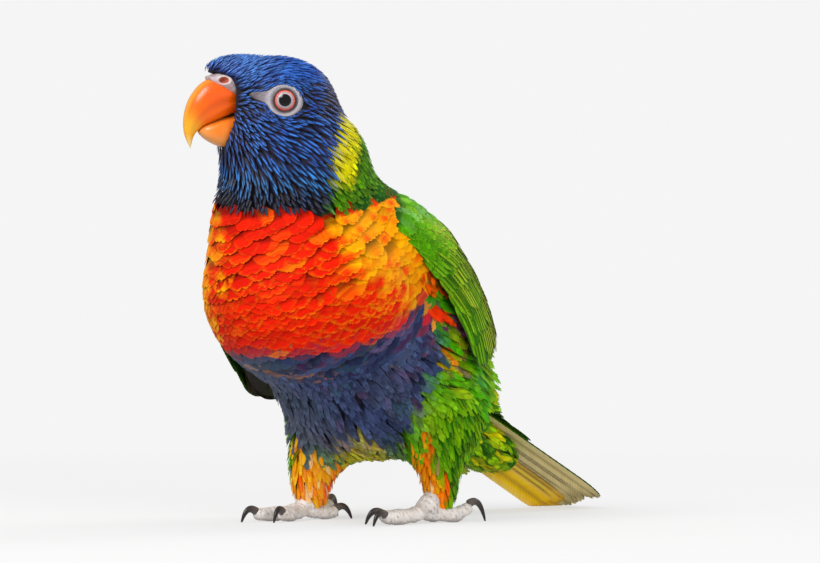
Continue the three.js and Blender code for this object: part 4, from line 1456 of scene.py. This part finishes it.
# %% Places on a blade
def on_blade(blade, s, x, drop, through=None):
    """A point s along the blade (0 to 1) and x across it (-1 at the back, 1 at the lower edge).

    Drop is how far it lies below the blade's top, and through its place from inner (-1) to outer face (1).
    """
    s, x, drop = np.broadcast_arrays(s, x, drop)
    shape = s.shape
    s, x, drop = s.ravel(), x.ravel(), drop.ravel()
    on_path = blade["start"] + (blade["end"] - blade["start"]) * s
    knot = np.clip(on_path, 0, 1) * 400
    index = np.minimum(knot.astype(int), 399)
    share = (knot - index)[:, None]
    centre = WING_PATH[index] * (1 - share) + WING_PATH[index + 1] * share
    centre = centre + WING_AHEAD[-1] * (np.maximum(on_path - 1, 0) * WING_LENGTH)[:, None]
    ahead = unit(WING_AHEAD[index] * (1 - share) + WING_AHEAD[index + 1] * share)
    left = unit(np.array([1.0, 0, 0]) - ahead * ahead[:, :1])
    back = np.cross(left, ahead)
    along = np.clip(s, 0, 1)
    top, low = stations(blade["top"], along), stations(blade["low"], along)
    turned = np.radians((top + low) / 2 + (low - top) / 2 * x)
    direction = back * np.cos(turned)[:, None] + left * (blade["sign"] * np.sin(turned))[:, None]
    near, far = np.zeros(len(s)), np.full(len(s), 75.0)
    for _ in range(15):
        half = (near + far) / 2
        inner = outside(centre + direction * half[:, None], BED) < 0
        near, far = np.where(inner, half, near), np.where(inner, far, half)
    hang = blade["away"] * np.sin(np.pi * along) * smooth(x, -0.2, 1)
    thick = stations(blade["thick"], along)
    if through is None:
        through = np.sqrt(np.clip(1 - np.abs(x) ** 3, 0, 1))
        through = through * np.sqrt(np.clip(np.minimum(s, 1.05 - s) / 0.12, 0, 1))
    lift = 0.6 + hang + thick / 2 * (1 + through) - drop
    return (centre + direction * (near + lift)[:, None]).reshape(*shape, 3)


def wing_lines(blade, s0, s1, x0, x1, drop0, drop1, knots=8, through=None):
    """Centre lines of feathers on a blade, from s0, x0 to s1, x1."""
    share = np.linspace(0, 1, knots)[None]
    s = s0[:, None] + (s1 - s0)[:, None] * share
    x = x0[:, None] + (x1 - x0)[:, None] * share
    drop = drop0[:, None] + (drop1 - drop0)[:, None] * share
    line = on_blade(blade, s, x, drop, through)
    other = on_blade(blade, s, x + 0.06 * blade["sign"], drop, through)
    ahead = np.gradient(line, axis=1)
    normal = unit(np.cross(ahead, other - line))
    outward = line - WING_PATH[200]
    flip = np.sign((normal * outward).sum(-1).mean(1))[:, None, None]
    return line, normal * flip


# %% [markdown]
# On the real bird bone, flesh and the bases of the feathers fill the wing. A thin dark core stands for them,
# so that no light shows between feathers. It is two flattened balls bent to the blades of wing and
# primaries.

# %% Wing cores
def wing_core(side):
    parts = []
    for blade in (WINGS[side], PRIMARIES[side]):
        obj, along, around = ball(60, 48)
        close = np.sqrt(np.clip(np.minimum(along, 1 - along) / 0.15, 0, 1))
        angle = 2 * np.pi * around
        across = np.sign(np.cos(angle)) * np.abs(np.cos(angle)) ** 0.75 * close * 0.9
        through = np.sign(np.sin(angle)) * np.abs(np.sin(angle)) ** 0.45 * close
        start, span = (0.14, 0.53) if blade is WINGS[side] else (0.02, 0.3)
        sunk = np.minimum(2.1, 0.85 * stations(blade["thick"], start + span * along))
        points = on_blade(blade, start + span * along, across, sunk * (through > 0) * close, through)
        move(obj, points)
        tidy_faces(obj)
        parts.append(obj)
    core = join(parts)
    points = where(core)
    tone = blend(GREEN_DARK, SOOT, 0.35) * (1 + 0.2 * waves(points, 6, 50))[:, None]
    set_colours(core.data, tone)
    return piece(core, f"{side}_wing_core", DOWN, "plumage_green", (f"{side}_wing", f"{side}_primaries"))


for side in WINGS:
    wing_core(side)

# %% [markdown]
# A wing wears small round coverts at the shoulder, longer rows below them, and then the long quills, each row
# tucked under the one before. They are laid row by row from front to back, so that they overlap like tiles.
# Quills are two vanes back to back, green above and dull brown below, since their underside can be seen.

# %% Colours of wing feathers
# heights, and how far out the folded wing's outer outline lies at each, for a painted highlight along it
RIM_HIGHLIGHT_LINE = ([52, 62, 71.4, 81, 90.6, 95.4], [42.3, 40.2, 36, 31.5, 23.7, 18])


def wing_colour(line, pattern, rng, side, kind):
    """Colours for coverts, for green flight feathers, for primaries, and for the dark inner face."""
    n = len(line)
    tips = line[:, -2]
    noise, fine = waves(tips, 11, 51), waves(tips, 4, 52)
    green = blend(GREEN, GREEN_DARK, 0.1 + 0.3 * noise)
    green = blend(green, YELLOW_GREEN, 0.12 + smooth(fine, 0.3, 1.2) * 0.4)
    # painted highlight: yellow green on feathers along the wing's outer outline, as a rim light gives on
    # their edges
    outer = OUTWARD[0] * np.abs(tips[:, 0]) + OUTWARD[1] * tips[:, 1]
    rim_highlight = smooth(outer - np.interp(tips[:, 2], RIM_HIGHLIGHT_LINE[0], RIM_HIGHLIGHT_LINE[1]), -7, -2.5)
    rim_highlight = rim_highlight * smooth(tips[:, 2], 56, 64) * smooth(tips[:, 2], 93, 88) * rng.uniform(0.3, 1, n)
    green = blend(green, YELLOW_GREEN, rim_highlight * 0.55)
    rim = blend(blend(LIME, green, 0.35 + 0.3 * noise), paint(222, 218, 66), rim_highlight)
    tone = rng.normal(1, 0.13, (n, 1))
    along, across = pattern["along"], pattern["across"] * WINGS[side]["sign"]
    inner = smooth(across, -0.35, 0.05)[None]
    if kind == "covert":
        edge = np.maximum(smooth(pattern["out"], 0.7, 0.92), smooth(along, 0.92, 0.99))[None]
        rim_share = edge * smooth(along, 0.5, 0.8)[None] * (0.25 + 0.5 * smooth(-across, 0, 0.7)[None])
        rim_share = np.clip(rim_share * (1 + rim_highlight[:, None]), 0, 0.95)[..., None]
        # painted highlight: pale bluish green patches on the top of the shoulder
        high = smooth(tips[:, 2], 84, 96) * smooth(waves(tips, 6, 53), -0.6, 0.6)
        green = blend(green, paint(150, 206, 128), high * 0.45)
        # dark base: partly the real dark down, partly painted shade where the row above covers it
        root = smooth(along, 0.6, 0.3)[None, :, None] * 0.75
        colours = (green * tone)[:, None] * (1 - rim_share) + rim[:, None] * rim_share
        colours = colours * barb_tone(pattern, n, rng, 0.2)
        return colours * (1 - root) + blend(GREEN_DEEP, SOOT, 0.5) * root
    shaft = bell(pattern["across"], 0.09)[None, :, None] * 0.6
    dark = blend(green, SOOT, 0.7)
    if kind == "dark":
        green = blend(paint(66, 62, 40), paint(120, 104, 84), smooth(fine, -0.3, 0.9) * 0.7)
        green = blend(green, paint(158, 142, 130), smooth(tips[:, 2], 54, 46) * 0.8)
        rim, dark = blend(paint(110, 98, 66), OLIVE, 0.4)[None].repeat(n, 0), green * 0.6
    if kind == "primary":
        green = blend(blend(GREEN_DARK, SOOT, 0.45), GREEN, 0.2)[None].repeat(n, 0)
        rim = paint(206, 206, 186)[None].repeat(n, 0)
    light = (smooth(-across, 0.3, 0.55) * smooth(-across, 0.99, 0.84))[None] * rng.uniform(0.15, 0.95, (n, 1))
    # painted highlight: yellow edges on feathers rooted high and far back on the wing
    high = smooth(line[:, 0, 2], 62, 74) * smooth(line[:, 0, 1], 6, 14)
    rim = blend(rim, paint(214, 214, 70), high * 0.8)
    light = np.clip(light + 0.35 * high[:, None] * (light > 0.05), 0, 1)[..., None]
    # painted shadow: a thin dark line along each feather's free edge
    painted_edge_shadow = smooth(-across, 0.84, 0.98)[None, :, None] * 0.7
    colours = (green * tone)[:, None] * (1 - light) + rim[:, None] * light
    # the side that the next feather covers is darkened: partly its real darker inner vane, partly painted
    # shadow of that feather
    colours = colours * (1 - 0.75 * inner[..., None]) + dark[:, None] * 0.75 * inner[..., None]
    colours = colours * barb_tone(pattern, n, rng, 0.07) * (1 - painted_edge_shadow)
    colours = colours * (1 - shaft) + (dark * 0.8)[:, None] * shaft
    tip = smooth(along, 0.9, 1.0)[None, :, None] * 0.35
    return colours * (1 - tip) + dark[:, None] * tip


# %% Wing feathers
# start along the blade, length, width and number of feathers in each row
LARGE_COVERTS = ((0.14, 18, 3.3, 34), (0.2, 21, 3.5, 35), (0.27, 24, 3.7, 35), (0.33, 27, 3.9, 34))


def wing_feathers(side, seed):
    blade, quills = WINGS[side], PRIMARIES[side]
    rng = np.random.default_rng(seed)
    small, large = [], []

    def batch(into, on, s0, length, x0, x1, width, drop0, drop1, pattern, kind, cup, thick=0.0, knots=8,
              through=None):
        """One row: where it starts and ends on the blade, how it is shaped, and how it is coloured."""
        span = on["end"] - on["start"]
        reach = length / (WING_LENGTH * span)
        line, normals = wing_lines(on, s0, s0 + reach, x0, x1, drop0, drop1, knots, through)
        stamped = PATTERNS[pattern]
        colours = wing_colour(line, stamped, rng, side, kind)
        flat = np.stack([0.5 + 0.4 * x0, 0.05 + 0.85 * (on["start"] + span * s0)], -1)
        spread = 0.003 if kind == "covert" else 0.03
        lean = 0.0 if kind == "covert" else 0.13 * on["sign"]
        points = lay(line + normals * thick / 2, normals, width, stamped, cup=cup, relief=0.03, tilt=lean)
        into.append(feathers(points, stamped, colours, flat, spread))
        if thick:
            under = lay(line - normals * thick / 2, -normals, width * 0.985, stamped, cup=-cup, relief=0.0,
                        tilt=lean)
            shade = blend(colours, paint(150, 138, 124), 0.8)
            into.append(feathers(under, stamped, shade, np.clip(flat + 0.012, 0, 1), spread))

    # lesser coverts, then four rows of larger ones
    for row, s in enumerate(np.arange(-0.012, 0.17, 0.021)):
        columns = int(18 + 13 * smooth(s, 0, 0.15))
        x = np.linspace(-0.97, 0.97, columns) + (0.95 / columns if row % 2 else 0)
        x = x[x < 1.0]
        n = len(x)
        x = x + rng.normal(0, 0.01, n)
        size = rng.uniform(0.9, 1.1, n)
        length = (7.5 + 22 * s) * size
        batch(small, blade, np.full(n, s) + rng.normal(0, 0.006, n), length, x, x * (1 + 0.02),
              (2.9 + 4 * s) * size, np.full(n, 1.5), rng.uniform(0.2, 0.6, n), "covert", "covert", 0.14)
    for s, length, width, columns in LARGE_COVERTS:
        x = np.linspace(-0.94, 0.97, columns) + rng.normal(0, 0.008, columns)
        n = len(x)
        size = rng.uniform(0.93, 1.07, n)
        length = length * size * (1 - (0.3 if side == "left" else 0) * smooth(x, 0.2, 1))
        batch(small, blade, np.full(n, s) + rng.normal(0, 0.008, n), length, x, x * 0.94, width * size,
              np.full(n, 1.2), np.linspace(-0.1, 0.25, n), "long", "flight", 0.03)
    # secondaries and tertials: the innermost lies on top
    x = np.linspace(-0.9, 0.97, 30)
    n = len(x)
    lengths = [38, 33, 28, 21] if side == "left" else [38, 36, 34, 32]
    length = np.interp(x, [-1, 0, 0.5, 1], lengths) + rng.normal(0, 1.3, n)
    batch(large, blade, np.full(n, 0.38) + 0.02 * x, length, x, x * 0.9, np.full(n, 4.5),
          0.9 + 0.25 * np.arange(n) / n, 0.3 + 0.5 * np.arange(n) / n, "quill", "flight", 0.03, 0.3, 12)
    # the inner face of the lower wing: dark feathers against the body, and along the lower edge
    if side == "right":
        for s, length, columns in ((0.05, 24, 9), (0.3, 33, 11)):
            x = np.linspace(0.1, 1.0, columns)
            n = len(x)
            start = np.full(n, s) + rng.normal(0, 0.01, n)
            batch(large, blade, start, np.full(n, length) + rng.normal(0, 2, n), x, x * 0.93,
                  np.full(n, 6.4), np.full(n, 0.2), np.full(n, 0.4), "long", "dark", 0.05, 0.3, 10, -1.0)
        x = np.linspace(0.7, 1.02, 6)
        n = len(x)
        batch(large, blade, np.linspace(0.42, 0.36, n), np.linspace(33, 30, n), x, x * 0.94, np.full(n, 5.6),
              np.linspace(1.4, 2.4, n), np.linspace(1.4, 2.4, n), "quill", "dark", 0.10, 0.35, 12)
    # primaries
    n = 9
    rank = np.arange(n)
    x0, x1 = np.linspace(-0.6, 0.8, n), np.linspace(-0.9, -0.2, n)
    length = np.linspace(42, 33, n)
    kind = "dark" if side == "right" else "primary"
    batch(large, quills, np.full(n, 0.02), length, x0, x1, np.full(n, 5.6),
          0.4 + 0.16 * rank, 0.1 + 0.16 * rank, "quill", kind, 0.03, 0.3, 14)
    coat(f"{side}_wing_coverts", small, WING_COAT, "plumage_green")
    coat(f"{side}_wing_quills", large, WING_COAT, "plumage_green")


wing_feathers("left", 61)
wing_feathers("right", 62)
clock()

# %% [markdown]
# The tail is a folded fan of twelve long feathers, the middle pair on top and longest. Their upper side is
# green, their underside olive and gold, with dark lines between that are painted shade where one covers the
# next. Short coverts hide their roots above and below.

# %% Lines and colours of the tail
HALF_FAN = 13


def tail_line(x0, x1, y0, y1, z0, z1, knots):
    """Centre lines in the tail's own frame, from x0, y0, z0 to x1, y1, z1, over the arch of the fan."""
    share = np.linspace(0, 1, knots)[None]
    x = x0[:, None] + (x1 - x0)[:, None] * share
    y = y0[:, None] + (y1 - y0)[:, None] * share
    crown = TAIL_ARCH * (1 - (np.clip(np.abs(x) / HALF_FAN, 0, 1)) ** 2)
    z = z0[:, None] + (z1 - z0)[:, None] * share + crown
    line = in_tail(np.stack([x, y, z], -1))
    lean = -2 * TAIL_ARCH * x / HALF_FAN ** 2
    normal = unit(np.stack([-lean, np.zeros_like(x), np.ones_like(x)], -1)) @ TAIL_AXES.T
    return line, normal


def tail_colour(line, pattern, rng, upper, gold):
    """Colours for one face of the long tail feathers; gold marks the ones that are golden below."""
    n = len(line)
    tone = rng.normal(1, 0.07, (n, 1))
    along, across = pattern["along"][None, :, None], pattern["across"][None, :, None]
    if upper:
        middle, rim = blend(GREEN, GREEN_DARK, 0.45)[None].repeat(n, 0), blend(YELLOW_GREEN, GREEN, 0.3)
    else:
        middle, rim = blend(TAN, OLIVE, 0.2), blend(TAN, paint(228, 220, 176), 0.6)
        middle = np.where(gold[:, None], blend(GOLD, AMBER, 0.15), middle)
        middle = middle * rng.normal(1.12, 0.06, (n, 1))
    shade = smooth(np.abs(across), 0.5, 0.9) * 0.35
    colours = (middle * tone)[:, None] * (1 - shade) + rim * shade
    # painted shade: darker along the edge of each long feather that its neighbour covers
    to_left = np.sign((line[:, -1] - TAIL_BASE) @ TAIL_AXES[:, 0])[:, None, None]
    inner = smooth(across * (1 if upper else -1) * to_left, 0.8, 1.0)
    colours = colours * (1 - 0.75 * inner) * barb_tone(pattern, n, rng, 0.05)
    shaft = bell(across, 0.07) * 0.55
    colours = colours * (1 - shaft) + (paint(70, 58, 26) if upper else paint(120, 100, 50)) * shaft
    tip = smooth(along, 0.86, 1.0) * (0.35 if upper else 0.5)
    return colours * (1 - tip) + paint(96, 84, 44) * tip


# %% Long tail feathers
rng = np.random.default_rng(71)
rank = np.array([6, 5, 4, 3, 2, 1, 1, 2, 3, 4, 5, 6])
sign = np.array([-1] * 6 + [1] * 6)
left_spots = np.array([0.8, 1.4, 3.8, 4.8, 7.8, 9.4])[rank - 1]
right_spots = np.array([0.5, 1.9, 2.9, 4.6, 5.8, 7.4])[rank - 1]
spots = np.where(sign > 0, left_spots, right_spots)
x0, x1 = sign * spots * 0.86, sign * spots * 0.95
y1 = TAIL_LENGTH - 0.5 * (rank - 1) + rng.normal(0, 1.1, 12)
z = -0.42 * (rank - 1) + 0.1 * (sign > 0)
width = np.full(12, 8.2) + rng.normal(0, 0.2, 12)
line, normals = tail_line(x0, x1, np.full(12, 2.0), y1, z + 0.9, z * 0.8 + 0.6, 14)
line[:, :, 2] = np.maximum(line[:, :, 2], 0.9)
pattern = PATTERNS["quill"]
strip = np.stack([0.08 + 0.07 * np.arange(12), np.full(12, 0.3)], -1)
batches = []
for upper in (True, False):
    way = 1 if upper else -1
    points = lay(line + normals * 0.22 * way, normals * way, width * (1 if upper else 0.99), pattern,
                 cup=0.05 * way, relief=0.03)
    colours = tail_colour(line, pattern, rng, upper, (sign < 0) & (rank > 3))
    batches.append(feathers(points, pattern, colours, strip + (0 if upper else np.array([0, 0.4])), 0.05))
coat("tail_quills", batches, TAIL_COAT, "plumage_tail", ("tail",))

# %% [markdown]
# Short coverts bridge the step between the trunk and the fan, laid in rows. Those above are green. Those
# below are blotched with yellow and end on a slant, so that the long feathers show sooner on the left side.

# %% Colours of tail coverts
def covert_paint(tips, x, rng, upper):
    """Colours for tail coverts by the places of their tips."""
    noise = waves(tips, 10, 72)
    green = blend(GREEN, YELLOW_GREEN if upper else paint(176, 198, 80), 0.35 + 0.4 * noise)
    green = blend(green, GREEN_DARK, smooth(noise, 0.1, -0.8) * 0.8)
    if upper:
        return green
    blotch = waves(tips, 13, 73) + rng.normal(0, 0.15, len(tips)) - 0.05 * x
    return blend(green, blend(YELLOW, GOLD, 0.3), smooth(blotch, -0.1, 0.25))


# %% Tail coverts
batches = []
for upper in (True, False):
    way = 1 if upper else -1
    rows = np.arange(-6.8, 30, 3.4) if upper else np.arange(-4, 27, 3.0)
    pattern = PATTERNS["covert" if upper else "belly"]
    for row, y in enumerate(rows):
        spread = (12.5 - 0.1 * y) if upper else 14.5 - 0.16 * max(y, 0)
        n = int((10 if upper else 15) - 0.06 * max(y, 0))
        x = np.linspace(-spread, spread, n) + (1.6 if row % 2 else -1.6) + rng.normal(0, 0.5, n)
        x = np.clip(x, -14, 10 if upper else 14)
        high = (3.4 + 4.0 * smooth(y, 14, -2) if upper else -4.0) * (1 - max(y, 0) / 60)
        y0 = np.full(n, float(y)) + rng.normal(0, 0.8, n)
        length = rng.uniform(13, 20, n) * (1 + 0.12 * max(y, 0) / 30)
        if not upper:
            short = y0 + length < 46 - 1.45 * (x + 10) + rng.normal(0, 1.5, n)
            x, y0, length = x[short], y0[short], length[short]
            n = len(x)
        z0 = np.full(n, high * 0.75)
        z1 = np.full(n, high * 0.95 - way * 0.2) + rng.uniform(0, 0.5, n) * way
        line, normals = tail_line(x, x * 0.9, y0, y0 + length, z0, z1, 7)
        line[:, :, 2] = np.maximum(line[:, :, 2], 0.9)
        colour = covert_paint(line[:, -2], x, rng, upper) * rng.normal(1, 0.1, (n, 1))
        # dark base: partly the real dark down, partly painted shade where the next row covers it
        root = smooth(pattern["along"], 0.45, 0.2)[None, :, None] * 0.6
        colours = colour[:, None] * (1 - root) + SOOT * root
        points = lay(line, normals * way, rng.uniform(3.4, 4.6, n), pattern, cup=0.12)
        flat = np.stack([0.5 + x / 40, np.full(n, 0.1 + (0.4 if upper else 0) + max(y, 0) / 120)], -1)
        batches.append(feathers(points, pattern, colours, flat))
coat("tail_coverts", batches, TAIL_COAT, "plumage_tail")
clock()

# %% [markdown]
# A parrot stands on two toes forward and two back. Each foot is one piece: rods swept along the toes and the
# shank, fused by a remesh, and then raised in scales, large plates along the top of the toes and small grains
# elsewhere. The claws are separate, smooth, curved horns.

# %% Places of the toes
FEET = {"left": ((19.5, 7.0), -18), "right": ((-20.0, 0.0), -6)}
# for each toe: its angle, its length, and how far its tip is raised
TOES = {
    "outer_front": (12, 17, 0),
    "inner_front": (-14, 13, 0),
    "outer_rear": (168, 14, 2.4),
    "inner_rear": (-150, 9, 0),
}
SHANK = [[0.4, 5, 12], [0.2, 3.4, 8.4], [0, 1.2, 5], [0, 0, 3]]


def at_foot(side, points):
    (x, y), turn = FEET[side]
    return np.asarray(points) @ rotation(2, turn).T + np.array([x, y, 0])


# %% Rods for toes and claws
def rod(place, radii, ring_count, sides, flat=1.0):
    """A closed rod along place(share), with round ends and the radii given at its stations."""
    obj, along, around = ball(ring_count, sides)
    line = place(np.linspace(0, 1, 201))
    ahead = unit(np.gradient(line, axis=0))
    knot = np.clip(np.round(along * 200).astype(int), 0, 200)
    left = unit(np.cross(UP, ahead[knot]) + 1e-6)
    over = np.cross(ahead[knot], left)
    close = np.sqrt(np.clip(1 - (1 - np.clip(np.minimum(along, 1 - along) / 0.1, 0, 1)) ** 2, 0, 1))
    angle = 2 * np.pi * around
    radius = stations(radii, along) * close
    beside, above = radius * np.cos(angle), radius * flat * np.sin(angle)
    return obj, line[knot] + left * beside[:, None] + over * above[:, None]


def toe_lines(side, angle, length, lift):
    """The centre lines of one toe and of its claw."""
    turned = math.radians(angle * SIGNS[side])
    out = np.array([math.sin(turned), -math.cos(turned), 0])

    def toe(share):
        heights = np.interp(share, [0, 0.3, 0.65, 1], [3.6, 2.5, 2.1, 2.3 + lift])
        return np.outer(share * (length + 1.6), out) + np.outer(heights, UP)

    def claw(share):
        reach = length + 0.2 + 7.1 * np.sin(math.radians(58) * share)
        height = 2.7 + lift + 1.7 * np.sin(np.pi * share) - (3.1 + lift) * share ** 2.2
        return np.outer(reach, out) + np.outer(height, UP)

    return toe, claw


# %% Feet
TOE_RADII = [2.35 * share for share in (0.86, 1.05, 0.92, 1.06, 0.9, 0.82)]
CLAW_RADII = [1.2, 1.05, 0.85, 0.58, 0.22]
SHANK_RADII = [2.2, 2.6, 3.4, 3.4]
PLATE = 1.7

for side in FEET:
    rods, lines, claws = [], [], []
    for angle, length, lift in TOES.values():
        toe, claw = toe_lines(side, angle, length, lift)
        obj, points = rod(toe, TOE_RADII, 60, 28, 0.92)
        move(obj, at_foot(side, points))
        rods.append(obj)
        lines.append(at_foot(side, toe(np.linspace(0, 1, 60))))
        obj, points = rod(claw, CLAW_RADII, 72, 28, 1.1)
        points[:, 2] = np.maximum(points[:, 2], 0.05)
        move(obj, at_foot(side, points))
        tidy_faces(obj)
        along = norm(points[:, :2], axis=-1) - length
        horn_tone = blend(paint(96, 86, 80), paint(38, 32, 32), smooth(along, 0.5, 5.5))
        horn_tone = horn_tone * (1 + 0.12 * waves(points * [1, 1, 3], 2.0, 81))[:, None]
        set_colours(obj.data, horn_tone)
        claws.append(obj)
    shank = at_foot(side, curve(SHANK, 201))
    obj, points = rod(lambda share: shank[np.round(share * 200).astype(int)], SHANK_RADII, 50, 28)
    move(obj, points)
    rods.append(obj)
    lines.append(shank[np.round(np.linspace(0, 1, 60) * 200).astype(int)])
    foot = join(rods)
    apply(foot, "REMESH", mode="VOXEL", voxel_size=0.00030)
    apply(foot, "SMOOTH", factor=0.5, iterations=5)
    points = where(foot)
    mesh = foot.data
    normals = np.zeros(len(mesh.vertices) * 3)
    mesh.vertices.foreach_get("normal", normals)
    normals = normals.reshape(-1, 3)
    # how far along its toe each point lies, for the plates
    steps = [float(norm(line[1] - line[0])) for line in lines]
    distance = np.concatenate([40 * k + step * np.arange(60) for k, step in enumerate(steps)])
    distance = distance[nearest(points, np.concatenate(lines))]
    top = smooth(normals[:, 2], 0.15, 0.7)
    plates = np.abs(np.sin(np.pi * distance / PLATE)) ** 0.45
    grains = waves(points, 0.95, 82) + waves(points, 1.3, 83)
    rise = top * (plates - 0.8) * 0.22 + (1 - 0.6 * top) * 0.06 * grains
    rise = np.where(points[:, 2] < 0.35, 0, rise)
    points = points + normals * rise[:, None]
    points[:, 2] = np.maximum(points[:, 2], 0.02)
    move(foot, points)
    pale = blend(paint(242, 234, 229), paint(216, 208, 203), 0.5 + 0.4 * waves(points, 5, 84))
    pale = blend(pale, paint(206, 176, 138), smooth(waves(points, 1.1, 85), 0.2, 1.1) * 0.35)
    # painted shade: darker in the grooves between scales
    pale = blend(pale, paint(122, 114, 114), smooth(-rise, 0.02, 0.16) * 0.6)
    # painted shade: darker low down, close to the floor
    pale = blend(pale, paint(140, 130, 126), smooth(points[:, 2], 1.6, 0.2) * 0.6)
    set_colours(mesh, pale)
    nodes = [f"{side}_{toe}_toe" for toe in TOES] + [f"{side}_shank"]
    tidy_faces(foot)
    piece(foot, f"{side}_foot_skin", FOOT_SKIN, "foot", nodes)
    horns = join(claws)
    piece(horns, f"{side}_claw_horns", CLAW_HORN, "claw", [f"{side}_{toe}_claw" for toe in TOES])
clock()

# %% [markdown]
# The model stands on a wide, pale floor that fades into a background of the same tone. The main soft light
# comes from high in front, a weaker one fills from the bird's left, and one behind lifts the outline.

# %% Helpers for the stage
SHEET = paint(245, 245, 245)


def camera_share(tree, target):
    """Full strength for what the camera sees directly, and half of it for light on the bird."""
    rays = node(tree, "ShaderNodeLightPath")
    power = node(tree, "ShaderNodeMapRange")
    power.inputs["To Min"].default_value, power.inputs["To Max"].default_value = 0.5, 1.0
    tree.links.new(rays.outputs["Is Camera Ray"], power.inputs["Value"])
    tree.links.new(power.outputs["Result"], target.inputs["Strength"])


def lamp(name, at, aim, size, power, gleams=True):
    """A round soft lamp; one that doesn't gleam isn't mirrored in the eye and the bill."""
    data = bpy.data.lights.new(name, "AREA")
    data.shape, data.size, data.energy = "DISK", size, power
    obj = bpy.data.objects.new(name, data)
    bpy.context.scene.collection.objects.link(obj)
    obj.visible_glossy = gleams
    obj.location = at
    obj.rotation_euler = (Vector(aim) - Vector(at)).to_track_quat("-Z", "Y").to_euler()


# %% Floor
bpy.ops.mesh.primitive_circle_add(vertices=96, radius=40, fill_type="NGON")
floor = bpy.context.object
floor.name = floor.data.name = "floor"
paper, tree, shader = material("paper", 0.95, Specular_IOR_Level=0.0)
links = tree.links
shader.inputs["Base Color"].default_value = (*SHEET, 1)
place = node(tree, "ShaderNodeTexCoord")
length = node(tree, "ShaderNodeVectorMath", operation="LENGTH")
links.new(place.outputs["Object"], length.inputs[0])
fade = node(tree, "ShaderNodeMapRange")
for key, value in (("From Min", 0.1), ("From Max", 0.5), ("To Min", 0.62), ("To Max", 1.0)):
    fade.inputs[key].default_value = value
links.new(length.outputs["Value"], fade.inputs["Value"])
glow = node(tree, "ShaderNodeEmission")
glow.inputs["Color"].default_value = (*SHEET, 1)
camera_share(tree, glow)
mix = node(tree, "ShaderNodeMixShader")
links.new(fade.outputs["Result"], mix.inputs["Fac"])
links.new(shader.outputs["BSDF"], mix.inputs[1])
links.new(glow.outputs["Emission"], mix.inputs[2])
links.new(mix.outputs["Shader"], tree.nodes["Material Output"].inputs["Surface"])
floor.data.materials.append(paper)

# %% Light
world = bpy.data.worlds.new("studio")
bpy.context.scene.world = world
world.use_nodes = True
backdrop = world.node_tree.nodes["Background"]
backdrop.inputs["Color"].default_value = (*SHEET, 1)
camera_share(world.node_tree, backdrop)

middle_of_bird = metres(np.array([0.0, -5, 72]))
lamp("key", (-0.1, -0.75, 0.75), middle_of_bird, 0.5, 6.2)
lamp("fill", (0.85, -0.55, 0.3), middle_of_bird, 0.7, 4.4, False)
lamp("rim", (0.35, 0.8, 0.7), middle_of_bird, 0.5, 3.0)

# %% Camera
eye_at = metres(np.array([701.1, -974.0, 72.15]))
looks_at = metres(np.array([12.8, 8.95, 72.15]))
data = bpy.data.cameras.new("camera")
data.lens, data.sensor_width, data.clip_end = 175.6, 36, 100
camera = bpy.data.objects.new("camera", data)
bpy.context.scene.collection.objects.link(camera)
camera.location = eye_at
camera.rotation_euler = (Vector(looks_at) - Vector(eye_at)).to_track_quat("-Z", "Y").to_euler()
bpy.context.scene.camera = camera
bpy.context.scene.view_settings.view_transform = "Standard"
print("camera distance in metres:", round(float(norm(eye_at - looks_at)), 3))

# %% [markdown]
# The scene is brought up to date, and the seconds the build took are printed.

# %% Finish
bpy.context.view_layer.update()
print("seconds:", round(time.time() - STARTED, 1))
